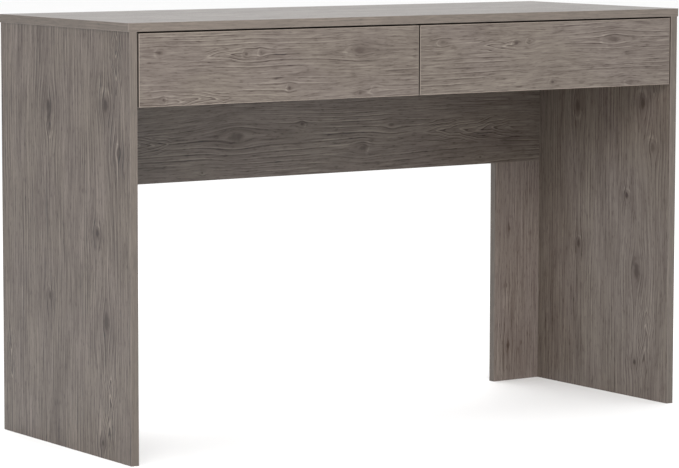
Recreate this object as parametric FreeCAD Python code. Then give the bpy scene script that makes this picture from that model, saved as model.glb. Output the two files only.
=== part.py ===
"""Flat-pack writing desk with two drawers, in millimetres.

The desk stands on z = 0. X runs along the desk, positive to the sitter's right, Y runs from the sitter to the
wall, and Z is up. The origin is on the floor under the middle of the top. Every board, edging strip, fitting,
runner and roller is a solid of its own, and each node is written to parts/NODE.step.
"""
import FreeCAD, Part
import os
from collections import defaultdict

from FreeCAD import Vector

# ---- overall sizes ---------------------------------------------------------------------------------------
WIDTH = 1200.0              # of the top
DEPTH = 450.0
HEIGHT = 750.0
BOARD = 15.0                # faced particleboard
EDGING = 1.0                # plastic strip glued to the cut edges
ARRIS = 0.8                 # round on the strip's outer edges
TOP_OVERHANG = 2.5          # of the top past each side panel
REVEAL = 3.0                # gap round the drawer fronts
FRONT_HEIGHT = 124.0
BACK_RAIL_HEIGHT = 300.0
BACK_INSET = 37.0           # from the desk's back to the rail's back face
STILE_WIDTH = 110.0
DIVIDER_HEIGHT = 123.0
DIVIDER_SETBACK = 2.0       # behind the drawer fronts

# ---- drawer boxes ----------------------------------------------------------------------------------------
BOX_BOARD = 12.0
BOX_HEIGHT = 90.0
BOX_LENGTH = 350.0
BOX_LIFT = 14.0             # from the front's lower edge to the box's: the finger pull
BOTTOM = 3.0                # hardboard
GROOVE_DEPTH = 6.0
GROOVE_LIFT = 10.0          # of the groove above the lower edge of the box side
GROOVE_PLAY = 0.2

# ---- runners: a channel on the desk, a rail on the drawer, and a roller on each --------------------------
RUNNER_GAP = 12.5           # between the desk's board and the drawer box
SHEET = 1.2                 # steel sheet of the runners
BEND = 1.2                  # bend radius at the middle of the sheet
CHANNEL_HEIGHT = 21.0
CHANNEL_WIDTH = 10.0
LIP = 3.4
RAIL_RISE = 25.2            # top of the drawer's rail above the foot of the channel
RAIL_DROP = 3.2             # foot of the drawer's rail below the foot of the channel
RAIL_LIP = 3.6
RAIL_NEAR = 3.0             # from the desk's board to the inside of that lip
RAIL_PLAY = 0.5             # at each end of the rail, from the ends of the box side
RAIL_FOOT = 9.5             # width of the flange under the box side
SEAT = BEND - SHEET / 2     # from that flange to the box side, which clears the rail's bend
ROLLER_RADIUS = 9.0
ROLLER_WIDTH = 5.5
ROLLER_BORE = 2.55
PIN_RADIUS = 2.5
RIVET_HOLE = 2.52           # in the web that the pin is riveted to
PIN_HEAD_RADIUS = 4.0
PIN_HEAD = 0.8
ROLLER_ROUND = 0.9
DISH_DEPTH = 1.2            # of the ring hollow in each face of a roller
DISH_OUT = 7.0
DISH_IN = 4.4
ROLL_PLAY = 0.3             # between a roller and what it rolls on
SIDE_PLAY = 0.2             # between a roller and its pin's collar or head
ROLLER_SETBACK = 13.0       # of each roller's axis from the end of its runner
FRONT_ROLLER_X = 4.0        # from the desk's board to the near face of the roller on the channel
REAR_ROLLER_X = 2.6         # and of the roller on the rail
BARE_WEB = 26.0             # stretch at the front of the channel with no flanges
TRAVEL = 260.0
STOP_LENGTH = 2.0
STOP_WIDTH = 7.6
STOP_FOOT = 16.5
STOP_PLAY = 0.5             # between the rear roller and a stop at each end of its travel
CHANNEL_HOLE_Z = 10.5       # above the foot of the channel
RAIL_HOLE_Z = 17.0          # clear of the groove for the drawer's bottom
RUNNER_SCREW = {"shank": 1.75, "head_radius": 3.5, "head_depth": SHEET + 0.6}
SCREW_ROWS = {"A": (-168.0, -40.0, 88.0), "B": (-136.0, -8.0, 116.0)}

# ---- fittings --------------------------------------------------------------------------------------------
CAM_SETBACK = 34.0          # from the joint to the cam's axis
CAM_RADIUS = 7.4
CAM_BORE = 7.5
CAM_SKIN = 2.5              # board left under the cam
BOLT_BORE = 4.0
BOLT_THREAD = 2.95
THREAD_BORE = 3.0
THREAD_DEPTH = 11.0
DOWEL_RADIUS = 3.95
DOWEL_BORE = 4.0
DOWEL_LENGTH = 30.0
DOWEL_IN_FACE = 11.0
CAM_DEPTH_PLAY = 0.2
BOLT_RADIUS = 3.6
BOLT_COLLAR = 24.0          # length of the bolt's shaft outside the board that it is screwed in
BOLT_NECK_RADIUS = 2.0
BOLT_HEAD_START = 32.0
BOLT_HEAD_RADIUS = 3.2
BOLT_END = 36.0
HOLLOW_START = 22.0         # of the cam's hollow for the bolt's head, from the joint
HOLLOW_END = 37.5
RECESS_RADIUS = 2.6         # of the cam's screwdriver recess
RECESS_DEPTH = 2.4
SLOT_LENGTH = 9.2
SLOT_WIDTH = 1.3
SLOT_DEPTH = 1.6
CAP_RADIUS = 8.8
CAP_HEIGHT = 1.2
CAP_PEG_RADIUS = 2.2
CAP_PEG = 2.0
CAP_ROUND = 0.9
DOWEL_CHAMFER = 1.0
FIT = 0.05                  # radial room for a screw in its board
SCREW_TIP_RADIUS = 0.4
BORE_ROOM = 0.5             # left at the bottom of a blind hole or groove
OVERCUT = 1.0               # that a cutting block runs past the face it opens
DIVIDER_SCREW = {"shank": 3.0, "length": 50.0, "head_radius": 5.0, "head_depth": 4.0}
BOX_SCREW = {"shank": 2.0, "length": 40.0, "head_radius": 4.0, "head_depth": 3.0}
BOTTOM_SCREW = {"shank": 1.5, "length": 18.0, "head_radius": 3.0, "head_depth": 1.6}

# ---- where the fittings go -------------------------------------------------------------------------------
SIDE_CAM_Y = (-150.0, 110.0)            # side panels to top
SIDE_DOWEL_Y = (-195.0, -20.0, 195.0)
RAIL_CAM_LIFTS = (45.0, 230.0)          # back rail to side panels, above the rail's foot
RAIL_DOWEL_LIFT = 150.0
RAIL_CAM_X = 210.0                      # back rail to top, from the middle
RAIL_DOWEL_X = 420.0
STILE_CAM_Z = (60.0, 375.0)
STILE_PEG_OUT = 30.0                    # of the dowel up into the rail, from the stile's inner edge
DIVIDER_CAM_Y = (-165.0, 95.0)
DIVIDER_DOWEL_Y = -35.0
DIVIDER_SCREW_LIFTS = (35.0, 93.0)
BOX_FIXING_LIFTS = (39.0, 73.0)         # box side to drawer front and to box back
BOTTOM_SCREW_SHARES = (0.12, 0.5, 0.88) # of the box's inner width

# ---- places worked out from the sizes --------------------------------------------------------------------
UNDER_TOP = HEIGHT - BOARD
SIDE_OUT = WIDTH / 2 - TOP_OVERHANG
SIDE_IN = SIDE_OUT - BOARD
FRONT = -DEPTH / 2
BACK = DEPTH / 2
RAIL_BACK = BACK - BACK_INSET
RAIL_FRONT = RAIL_BACK - BOARD
RAIL_MIDDLE = RAIL_BACK - BOARD / 2
RAIL_FOOT_Z = UNDER_TOP - BACK_RAIL_HEIGHT
FRONT_TOP = UNDER_TOP - REVEAL
FRONT_FOOT = FRONT_TOP - FRONT_HEIGHT
BOX_START = FRONT + BOARD
BOX_END = BOX_START + BOX_LENGTH
BOX_FOOT = FRONT_FOOT + BOX_LIFT
BOX_TOP = BOX_FOOT + BOX_HEIGHT
BOTTOM_Z = BOX_FOOT + GROOVE_LIFT
RUNNER_FOOT = BOX_FOOT - SEAT + RAIL_DROP - SHEET
CHANNEL_START = BOX_START + DIVIDER_SETBACK
DIVIDER_FRONT = FRONT + BOARD + DIVIDER_SETBACK
DIVIDER_FOOT = UNDER_TOP - DIVIDER_HEIGHT
SIDES = {"left": -1, "right": 1}

X, Y, Z = Vector(1, 0, 0), Vector(0, 1, 0), Vector(0, 0, 1)

cuts = defaultdict(list)        # board -> shapes to take out of it
nodes = defaultdict(list)       # node -> its solids


# ---- shapes ----------------------------------------------------------------------------------------------
def box(x, y, z):
    """A block from three (low, high) pairs, in either order."""
    low = Vector(*(min(pair) for pair in (x, y, z)))
    high = Vector(*(max(pair) for pair in (x, y, z)))
    size = high - low
    return Part.makeBox(size.x, size.y, size.z, low)


def rod(start, direction, radius, length):
    return Part.makeCylinder(radius, length, start, direction)


def cone(start, direction, radius, end_radius, length):
    return Part.makeCone(radius, end_radius, length, start, direction)


def fused(shapes):
    """One solid from several that touch."""
    first, *others = shapes
    return first.fuse(others).removeSplitter() if others else first


def strip(x, y, z, outward, round_ends=False):
    """An edging strip whose outer long edges, and ends if asked, are rounded."""
    shape = box(x, y, z)
    reach = max(vertex.Point.dot(outward) for vertex in shape.Vertexes)
    outer = [
        edge for edge in shape.Edges
        if all(abs(vertex.Point.dot(outward) - reach) < 1e-6 for vertex in edge.Vertexes)
    ]
    longest = max(edge.Length for edge in outer)
    if not round_ends:
        outer = [edge for edge in outer if edge.Length > longest - 1e-6]
    return shape.makeFillet(ARRIS, outer)


def bent_sheet(points, length, start):
    """Sheet of constant thickness, bent at each inner point of a path in X and Z, and extruded along Y."""
    half = SHEET / 2
    spots = [Vector(px, 0, pz) for px, pz in points]
    ways = [(b - a).normalize() for a, b in zip(spots, spots[1:])]
    chains = {-1: [], 1: []}
    for side, chain in chains.items():
        normals = [Vector(-way.z, 0, way.x) * side for way in ways]
        here = spots[0] + normals[0] * half
        for corner, before, after, n0, n1 in zip(spots[1:], ways, ways[1:], normals, normals[1:]):
            centre_side = 1 if before.cross(after).dot(Y) < 0 else -1
            radius = BEND - half * side * centre_side
            centre = corner - before * BEND + n0 * side * centre_side * BEND
            out0, out1 = (n0 * side * -centre_side, n1 * side * -centre_side)
            first, last = centre + out0 * radius, centre + out1 * radius
            middle = centre + (out0 + out1).normalize() * radius
            chain.append(Part.LineSegment(here, first).toShape())
            chain.append(Part.Arc(first, middle, last).toShape())
            here = last
        chain.append(Part.LineSegment(here, spots[-1] + normals[-1] * half).toShape())
    ends = [
        Part.LineSegment(chains[-1][0].Vertexes[0].Point, chains[1][0].Vertexes[0].Point).toShape(),
        Part.LineSegment(chains[-1][-1].Vertexes[-1].Point, chains[1][-1].Vertexes[-1].Point).toShape(),
    ]
    outline = Part.Wire(Part.__sortEdges__(chains[-1] + chains[1] + ends))
    profile = Part.Face(outline)
    profile.translate(Y * start)
    return profile.extrude(Y * length)


def countersunk_screw(head, direction, shank, length, head_radius, head_depth, grow=0.0):
    """A screw from its head's flat face. With grow it is the hole that the screw sits in."""
    tip = 2.0 * shank
    return fused([
        cone(head, direction, head_radius + grow, shank + grow, head_depth),
        rod(head, direction, shank + grow, length - tip),
        cone(head + direction * (length - tip), direction, shank + grow, SCREW_TIP_RADIUS, tip),
    ])


# ---- joints between boards -------------------------------------------------------------------------------
def cam_bolt(point, into):
    """Steel bolt screwed into one board's face, with a necked head for the cam in the other board."""
    return fused([
        rod(point - into * THREAD_DEPTH, into, BOLT_THREAD, THREAD_DEPTH),
        rod(point, into, BOLT_RADIUS, BOLT_COLLAR),
        rod(point + into * BOLT_COLLAR, into, BOLT_NECK_RADIUS, BOLT_HEAD_START - BOLT_COLLAR),
        rod(point + into * BOLT_HEAD_START, into, BOLT_HEAD_RADIUS, BOLT_END - BOLT_HEAD_START),
    ])


def cam_lock(point, into, face, thickness):
    """Zinc cam, turned from the board's face, with a hollow for the bolt's head and a cross recess."""
    mouth = point + into * CAM_SETBACK + face * (thickness / 2)
    cam = rod(mouth, face * -1, CAM_RADIUS, thickness - CAM_SKIN - CAM_DEPTH_PLAY)
    hollow = rod(point + into * HOLLOW_START, into, BOLT_BORE, HOLLOW_END - HOLLOW_START)
    recess = [rod(mouth, face * -1, RECESS_RADIUS, RECESS_DEPTH)]
    across = into.cross(face)
    for way, other in ((into, across), (across, into)):
        long, wide = way * SLOT_LENGTH, other * SLOT_WIDTH
        corner = mouth - long / 2 - wide / 2
        outline = Part.makePolygon([corner, corner + long, corner + long + wide, corner + wide, corner])
        recess.append(Part.Face(outline).extrude(face * -SLOT_DEPTH))
    return cam.cut([hollow] + recess)


def cam_cap(point, into, face, thickness):
    """Push-in plastic cap over a cam."""
    mouth = point + into * CAM_SETBACK + face * (thickness / 2)
    disc = rod(mouth, face, CAP_RADIUS, CAP_HEIGHT)
    rim = [edge for edge in disc.Edges if abs((edge.CenterOfMass - mouth).dot(face) - CAP_HEIGHT) < 1e-6]
    return fused([disc.makeFillet(CAP_ROUND, rim), rod(mouth, face * -1, CAP_PEG_RADIUS, CAP_PEG)])


def join_with_cam(group, edge_board, face_board, point, into, face, thickness=BOARD, capped=True):
    """Cam and bolt between the edge of one board and the face of another; point is on the joint."""
    mouth = point + into * CAM_SETBACK + face * (thickness / 2)
    cuts[edge_board] += [
        rod(mouth, face * -1, CAM_BORE, thickness - CAM_SKIN),
        rod(point, into, BOLT_BORE, CAM_SETBACK),
    ]
    cuts[face_board].append(rod(point, into * -1, THREAD_BORE, THREAD_DEPTH + BORE_ROOM))
    nodes[group + "_cam_locks"].append(cam_lock(point, into, face, thickness))
    nodes[group + "_cam_bolts"].append(cam_bolt(point, into))
    if capped:
        nodes[group + "_cam_caps"].append(cam_cap(point, into, face, thickness))


def join_with_dowel(edge_board, face_board, point, into):
    """Wooden dowel between the edge of one board and the face of another; point is on the joint."""
    start = point - into * DOWEL_IN_FACE
    peg = rod(start, into, DOWEL_RADIUS, DOWEL_LENGTH)
    rims = [edge for edge in peg.Edges if edge.Curve.TypeId == "Part::GeomCircle"]
    nodes["frame_dowels"].append(peg.makeChamfer(DOWEL_CHAMFER, rims))
    cuts[face_board].append(rod(point, into * -1, DOWEL_BORE, DOWEL_IN_FACE + BORE_ROOM))
    cuts[edge_board].append(rod(point, into, DOWEL_BORE, DOWEL_LENGTH - DOWEL_IN_FACE + BORE_ROOM))


def join_with_screw(group, boards, head, direction, shank, length, head_radius, head_depth):
    """Countersunk screw through several boards."""
    sizes = (head, direction, shank, length, head_radius, head_depth)
    nodes[group].append(countersunk_screw(*sizes))
    for board in boards:
        cuts[board].append(countersunk_screw(*sizes, grow=FIT))


# ---- the desk's frame ------------------------------------------------------------------------------------
def frame_joints():
    """Every cam, dowel and screw that holds the frame together."""
    for name, sign in SIDES.items():
        panel, stile = f"{name}_side_panel", f"{name}_back_stile"
        middle, inner = sign * (SIDE_IN + BOARD / 2), sign * SIDE_IN
        inward = X * -sign
        for y in SIDE_CAM_Y:
            join_with_cam("frame", panel, "top_panel", Vector(middle, y, UNDER_TOP), Z * -1, inward)
        for y in SIDE_DOWEL_Y:
            join_with_dowel(panel, "top_panel", Vector(middle, y, UNDER_TOP), Z * -1)
        for lift in RAIL_CAM_LIFTS:
            point = Vector(inner, RAIL_MIDDLE, RAIL_FOOT_Z + lift)
            join_with_cam("frame", "back_rail", panel, point, inward, Y)
        join_with_dowel("back_rail", panel, Vector(inner, RAIL_MIDDLE, RAIL_FOOT_Z + RAIL_DOWEL_LIFT), inward)
        for z in STILE_CAM_Z:
            join_with_cam("frame", stile, panel, Vector(inner, RAIL_MIDDLE, z), inward, Y)
        join_with_dowel(stile, panel, Vector(inner, RAIL_MIDDLE, RAIL_FOOT_Z / 2), inward)
        peg_x = sign * (SIDE_IN - STILE_WIDTH + STILE_PEG_OUT)
        join_with_dowel(stile, "back_rail", Vector(peg_x, RAIL_MIDDLE, RAIL_FOOT_Z), Z * -1)
        cam_x, dowel_x = sign * RAIL_CAM_X, sign * RAIL_DOWEL_X
        join_with_cam("frame", "back_rail", "top_panel", Vector(cam_x, RAIL_MIDDLE, UNDER_TOP), Z * -1, Y)
        join_with_dowel("back_rail", "top_panel", Vector(dowel_x, RAIL_MIDDLE, UNDER_TOP), Z * -1)
    for y in DIVIDER_CAM_Y:
        join_with_cam("frame", "centre_divider", "top_panel", Vector(0, y, UNDER_TOP), Z * -1, X * -1)
    join_with_dowel("centre_divider", "top_panel", Vector(0, DIVIDER_DOWEL_Y, UNDER_TOP), Z * -1)
    for lift in DIVIDER_SCREW_LIFTS:
        head = Vector(0, RAIL_BACK, DIVIDER_FOOT + lift)
        join_with_screw("divider_screws", ["back_rail", "centre_divider"], head, Y * -1, **DIVIDER_SCREW)
    # the dowels through the lower edge of the back rail pass its edging
    cuts["back_rail_edging"] += cuts["back_rail"]


def frame_boards():
    """The boards and edging strips of the frame, before their holes are cut."""
    half, side_z, top_z = WIDTH / 2, (0, UNDER_TOP), (UNDER_TOP, HEIGHT)
    front_strip, back_strip = (FRONT, FRONT + EDGING), (BACK - EDGING, BACK)
    between = (FRONT + EDGING, BACK - EDGING)
    rail_y = (RAIL_FRONT, RAIL_BACK)
    rail_x = (-SIDE_IN, SIDE_IN)
    divider_x = (-BOARD / 2, BOARD / 2)
    divider_y = (DIVIDER_FRONT + EDGING, RAIL_FRONT)
    boards = {
        "top_panel": [box((-half + EDGING, half - EDGING), between, top_z)],
        "top_panel_edging": [
            strip((-half, half), front_strip, top_z, Y * -1, round_ends=True),
            strip((-half, half), back_strip, top_z, Y, round_ends=True),
            strip((-half, -half + EDGING), between, top_z, X * -1),
            strip((half - EDGING, half), between, top_z, X),
        ],
        "back_rail": [box(rail_x, rail_y, (RAIL_FOOT_Z + EDGING, UNDER_TOP))],
        "back_rail_edging": [box(rail_x, rail_y, (RAIL_FOOT_Z, RAIL_FOOT_Z + EDGING))],
        "centre_divider": [box(divider_x, divider_y, (DIVIDER_FOOT + EDGING, UNDER_TOP))],
        "centre_divider_edging": [
            strip(divider_x, (DIVIDER_FRONT, DIVIDER_FRONT + EDGING), (DIVIDER_FOOT, UNDER_TOP), Y * -1),
            strip(divider_x, divider_y, (DIVIDER_FOOT, DIVIDER_FOOT + EDGING), Z * -1),
        ],
        "back_stile_edging": [],
    }
    for name, sign in SIDES.items():
        side_x = (sign * SIDE_IN, sign * SIDE_OUT)
        boards[f"{name}_side_panel"] = [box(side_x, between, side_z)]
        boards[f"{name}_side_edging"] = [
            strip(side_x, front_strip, side_z, Y * -1),
            strip(side_x, back_strip, side_z, Y),
        ]
        free, trimmed = sign * (SIDE_IN - STILE_WIDTH), sign * (SIDE_IN - STILE_WIDTH + EDGING)
        stile_z = (0, RAIL_FOOT_Z)
        boards[f"{name}_back_stile"] = [box((trimmed, sign * SIDE_IN), rail_y, stile_z)]
        boards["back_stile_edging"].append(strip((free, trimmed), rail_y, stile_z, X * -sign))
    return boards


# ---- runners ---------------------------------------------------------------------------------------------
def roller(axis):
    """Nylon roller on an axis along X, from its first face: rim, web and hub with a bore."""
    wheel = rod(axis, X, ROLLER_RADIUS, ROLLER_WIDTH)
    rims = [edge for edge in wheel.Edges if edge.Curve.TypeId == "Part::GeomCircle"]
    wheel = wheel.makeFillet(ROLLER_ROUND, rims)
    dishes = [
        rod(axis + X * start, X, DISH_OUT, DISH_DEPTH).cut(rod(axis + X * start, X, DISH_IN, DISH_DEPTH))
        for start in (0.0, ROLLER_WIDTH - DISH_DEPTH)
    ]
    return wheel.cut(dishes + [rod(axis, X, ROLLER_BORE, ROLLER_WIDTH)])


def roller_pin(axis, web, first_face):
    """Rivet along X from the runner's web: collar, shaft and head, with the roller between the last two.

    web is the (outer, inner) X of the sheet it is riveted in, and first_face the roller's near face.
    """
    way = 1 if first_face > web[0] else -1
    place = Vector(0, axis.y, axis.z)
    collar_end = first_face - way * SIDE_PLAY
    head_start = first_face + way * (ROLLER_WIDTH + SIDE_PLAY)
    direction = X * way
    return fused([
        rod(place + X * web[1], direction, PIN_HEAD_RADIUS, abs(collar_end - web[1])),
        rod(place + X * web[0], direction, PIN_RADIUS, abs(head_start - web[0])),
        rod(place + X * head_start, direction, PIN_HEAD_RADIUS, PIN_HEAD),
    ])


def screw_holes(outer, direction, height):
    """Countersunk holes through a runner's web, at both rows of screw places."""
    mouth = RUNNER_SCREW["head_radius"] + FIT
    slope = (RUNNER_SCREW["head_radius"] - RUNNER_SCREW["shank"]) / RUNNER_SCREW["head_depth"]
    return [
        cone(Vector(outer, y, height), direction, mouth, mouth - slope * SHEET, SHEET)
        for row in SCREW_ROWS.values() for y in row
    ]


def stop(start):
    """Tab pressed out of the channel's web, which the travelling roller meets."""
    return box((SHEET / 2, STOP_WIDTH), (start, start + STOP_LENGTH), (STOP_FOOT, CHANNEL_HEIGHT - SHEET))


def runner_set():
    """Channel, rail, rollers and pins for a face at X = 0, the drawer at +X; Z is from the channel's foot."""
    middle = SHEET / 2
    channel = bent_sheet([
        (CHANNEL_WIDTH - middle, LIP), (CHANNEL_WIDTH - middle, middle), (middle, middle),
        (middle, CHANNEL_HEIGHT - middle), (CHANNEL_WIDTH - middle, CHANNEL_HEIGHT - middle),
        (CHANNEL_WIDTH - middle, CHANNEL_HEIGHT - LIP),
    ], BOX_LENGTH, CHANNEL_START)
    bare = box(
        (SHEET, CHANNEL_WIDTH + OVERCUT),
        (CHANNEL_START - OVERCUT, CHANNEL_START + BARE_WEB),
        (-OVERCUT, CHANNEL_HEIGHT + OVERCUT),
    )
    front_height = RAIL_RISE - SHEET - ROLL_PLAY - ROLLER_RADIUS
    front_axis = Vector(FRONT_ROLLER_X, CHANNEL_START + ROLLER_SETBACK, front_height)
    rear_axis = Vector(REAR_ROLLER_X, BOX_END - ROLLER_SETBACK, SHEET + ROLL_PLAY + ROLLER_RADIUS)
    stops = [
        stop(rear_axis.y - TRAVEL - ROLLER_RADIUS - STOP_PLAY - STOP_LENGTH),
        stop(rear_axis.y + ROLLER_RADIUS + STOP_PLAY),
    ]
    through = SHEET + 2 * OVERCUT
    rivet_hole = rod(Vector(-OVERCUT, front_axis.y, front_axis.z), X, RIVET_HOLE, through)
    channel = fused([channel.cut([bare, rivet_hole] + screw_holes(SHEET, X * -1, CHANNEL_HOLE_Z))] + stops)

    rail_web = RUNNER_GAP - middle
    rail = bent_sheet([
        (RAIL_NEAR - middle, RAIL_RISE - RAIL_LIP), (RAIL_NEAR - middle, RAIL_RISE - middle),
        (rail_web, RAIL_RISE - middle), (rail_web, middle - RAIL_DROP),
        (RUNNER_GAP + RAIL_FOOT, middle - RAIL_DROP),
    ], BOX_LENGTH - 2 * RAIL_PLAY, BOX_START + RAIL_PLAY)
    rivet_hole = rod(Vector(RUNNER_GAP - SHEET - OVERCUT, rear_axis.y, rear_axis.z), X, RIVET_HOLE, through)
    rail = rail.cut([rivet_hole] + screw_holes(RUNNER_GAP - SHEET, X, RAIL_HOLE_Z))
    return {
        "channel": channel,
        "rail": rail,
        "front_roller": roller(front_axis),
        "rear_roller": roller(rear_axis),
        "front_pin": roller_pin(front_axis, (0.0, SHEET), front_axis.x),
        "rear_pin": roller_pin(rear_axis, (RUNNER_GAP, RUNNER_GAP - SHEET), rear_axis.x + ROLLER_WIDTH),
    }


def placed(shape, face, sign):
    """A runner piece carried from X = 0 to a board's face; sign is the way from that face to the drawer."""
    moved = shape.copy() if sign > 0 else shape.mirror(Vector(0, 0, 0), X)
    moved.translate(Vector(face, 0, RUNNER_FOOT))
    return moved


def runners(drawer):
    """Both runners of one drawer, their rollers and the screws that hold them."""
    outer, inner = (-SIDE_IN, -BOARD / 2) if drawer == "left" else (BOARD / 2, SIDE_IN)
    pieces = runner_set()
    for hand, face, sign in (("left", outer, 1), ("right", inner, -1)):
        end = f"{drawer}_bay_{hand}"
        nodes[end + "_channel"].append(placed(pieces["channel"], face, sign))
        nodes[f"{drawer}_drawer_{hand}_rail"].append(placed(pieces["rail"], face, sign))
        nodes[end + "_front_roller"].append(placed(pieces["front_roller"], face, sign))
        nodes[f"{drawer}_drawer_{hand}_rear_roller"].append(placed(pieces["rear_roller"], face, sign))
        nodes["frame_roller_pins"].append(placed(pieces["front_pin"], face, sign))
        nodes[f"{drawer}_drawer_roller_pins"].append(placed(pieces["rear_pin"], face, sign))
        divider = abs(face) < SIDE_IN
        board = "centre_divider" if divider else f"{drawer}_side_panel"
        row = "B" if divider and drawer == "right" else "A"
        for y in SCREW_ROWS[row]:
            head = Vector(face + sign * SHEET, y, RUNNER_FOOT + CHANNEL_HOLE_Z)
            join_with_screw("channel_screws", [board], head, X * -sign, length=12.0, **RUNNER_SCREW)
        for y in SCREW_ROWS["B"]:
            head = Vector(face + sign * (RUNNER_GAP - SHEET), y, RUNNER_FOOT + RAIL_HOLE_Z)
            side = f"{drawer}_drawer_{hand}_side"
            join_with_screw(f"{drawer}_drawer_screws", [side], head, X * sign, length=11.0, **RUNNER_SCREW)


# ---- drawers ---------------------------------------------------------------------------------------------
def drawer_boards(drawer):
    """Front, box, bottom and edging of one drawer, and the fittings that hold them together."""
    name = f"{drawer}_drawer"
    front_x = (-SIDE_IN + REVEAL, -REVEAL / 2) if drawer == "left" else (REVEAL / 2, SIDE_IN - REVEAL)
    bay = (-SIDE_IN, -BOARD / 2) if drawer == "left" else (BOARD / 2, SIDE_IN)
    box_x = (bay[0] + RUNNER_GAP, bay[1] - RUNNER_GAP)
    faces = {"left": (box_x[0], box_x[0] + BOX_BOARD, 1), "right": (box_x[1], box_x[1] - BOX_BOARD, -1)}
    inside = (faces["left"][1], faces["right"][1])
    front_y, side_y, back_y = (FRONT, BOX_START), (BOX_START, BOX_END), (BOX_END - BOX_BOARD, BOX_END)
    trimmed_z = (FRONT_FOOT + EDGING, FRONT_TOP - EDGING)
    top_strip = (BOX_TOP - EDGING, BOX_TOP)
    groove_z = (BOTTOM_Z - GROOVE_PLAY / 2, BOTTOM_Z + BOTTOM + GROOVE_PLAY / 2)
    tongue = GROOVE_DEPTH - BORE_ROOM
    bottom_x = (inside[0] - tongue, inside[1] + tongue)
    boards = {
        f"{name}_front": [box((front_x[0] + EDGING, front_x[1] - EDGING), front_y, trimmed_z)],
        f"{name}_front_edging": [
            strip(front_x, front_y, (FRONT_FOOT, FRONT_FOOT + EDGING), Z * -1, round_ends=True),
            strip(front_x, front_y, (FRONT_TOP - EDGING, FRONT_TOP), Z, round_ends=True),
            strip((front_x[0], front_x[0] + EDGING), front_y, trimmed_z, X * -1),
            strip((front_x[1] - EDGING, front_x[1]), front_y, trimmed_z, X),
        ],
        f"{name}_back": [box(inside, back_y, (BOTTOM_Z + BOTTOM, BOX_TOP - EDGING))],
        f"{name}_bottom": [box(bottom_x, (BOX_START - tongue, BOX_END), (BOTTOM_Z, BOTTOM_Z + BOTTOM))],
        f"{name}_box_edging": [strip(inside, back_y, top_strip, Z)],
    }
    groove_x = (bottom_x[0] - BORE_ROOM, bottom_x[1] + BORE_ROOM)
    cuts[f"{name}_front"].append(box(groove_x, (BOX_START - GROOVE_DEPTH, BOX_START + OVERCUT), groove_z))
    for hand, (outer, inner, sign) in faces.items():
        side = f"{name}_{hand}_side"
        boards[side] = [box((outer, inner), side_y, (BOX_FOOT, BOX_TOP - EDGING))]
        boards[f"{name}_box_edging"].append(strip((outer, inner), side_y, top_strip, Z))
        groove_x = (inner - sign * GROOVE_DEPTH, inner + sign * OVERCUT)
        cuts[side].append(box(groove_x, (BOX_START - OVERCUT, BOX_END + OVERCUT), groove_z))
        for lift in BOX_FIXING_LIFTS:
            point = Vector((outer + inner) / 2, BOX_START, BOX_FOOT + lift)
            join_with_cam(name, side, f"{name}_front", point, Y, X * -sign, BOX_BOARD, capped=False)
            head = Vector(outer, BOX_END - BOX_BOARD / 2, BOX_FOOT + lift)
            join_with_screw(f"{name}_screws", [side, f"{name}_back"], head, X * sign, **BOX_SCREW)
    for share in BOTTOM_SCREW_SHARES:
        head = Vector(inside[0] + share * (inside[1] - inside[0]), BOX_END - BOX_BOARD / 2, BOTTOM_Z)
        join_with_screw(f"{name}_screws", [f"{name}_bottom", f"{name}_back"], head, Z, **BOTTOM_SCREW)
    return boards


# ---- everything ------------------------------------------------------------------------------------------
def main():
    """Builds every node and writes its STEP."""
    frame_joints()
    boards = frame_boards()
    for drawer in SIDES:
        boards.update(drawer_boards(drawer))
        runners(drawer)
    for name, solids in boards.items():
        tools = cuts.get(name)
        nodes[name] = [solid.cut(tools) if tools else solid for solid in solids]
    os.makedirs("parts", exist_ok=True)
    for name, shapes in sorted(nodes.items()):
        solids = [solid for shape in shapes for solid in shape.Solids]
        for solid in solids:
            if not solid.isValid() or solid.Volume <= 0:
                raise ValueError(f"{name} has a bad solid")
        whole = solids[0] if len(solids) == 1 else Part.makeCompound(solids)
        whole.exportStep(f"parts/{name}.step")
        print(f"{name}: {len(solids)} solids, {sum(s.Volume for s in solids) / 1000:.1f} cm3")
    print(len(nodes), "nodes")


main()
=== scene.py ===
"""Looks of a flat-pack writing desk with two drawers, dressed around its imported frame.

The boards carry a grey-taupe wood print that runs along each board, with knots placed board by board. The
print is one set of shader node groups, used with other values for each board. Screws, bolts, dowels, caps and
pins are instanced by Geometry Nodes at the solids that the frame holds for them.
"""
import logging
import math
from dataclasses import dataclass, field
from enum import Enum

import bmesh
import bpy
from mathutils import Matrix, Vector


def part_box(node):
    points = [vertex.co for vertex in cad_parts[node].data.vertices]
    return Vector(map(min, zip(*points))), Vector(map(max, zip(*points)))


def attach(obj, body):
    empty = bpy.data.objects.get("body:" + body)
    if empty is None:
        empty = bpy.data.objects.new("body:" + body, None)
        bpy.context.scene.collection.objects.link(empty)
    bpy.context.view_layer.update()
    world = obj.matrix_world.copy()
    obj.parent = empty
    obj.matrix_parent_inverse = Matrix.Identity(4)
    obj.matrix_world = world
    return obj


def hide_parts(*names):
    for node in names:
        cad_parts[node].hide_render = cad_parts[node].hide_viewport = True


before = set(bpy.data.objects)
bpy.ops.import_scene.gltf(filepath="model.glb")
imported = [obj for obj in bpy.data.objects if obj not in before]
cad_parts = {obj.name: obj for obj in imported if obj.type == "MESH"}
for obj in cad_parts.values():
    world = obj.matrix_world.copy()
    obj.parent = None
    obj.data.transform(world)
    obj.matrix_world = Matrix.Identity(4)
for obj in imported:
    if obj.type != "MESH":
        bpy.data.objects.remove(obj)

LOG = logging.getLogger("desk")
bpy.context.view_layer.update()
MM = 0.001
TURN = 2.0 * math.pi
Colour = tuple[float, float, float]


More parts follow.
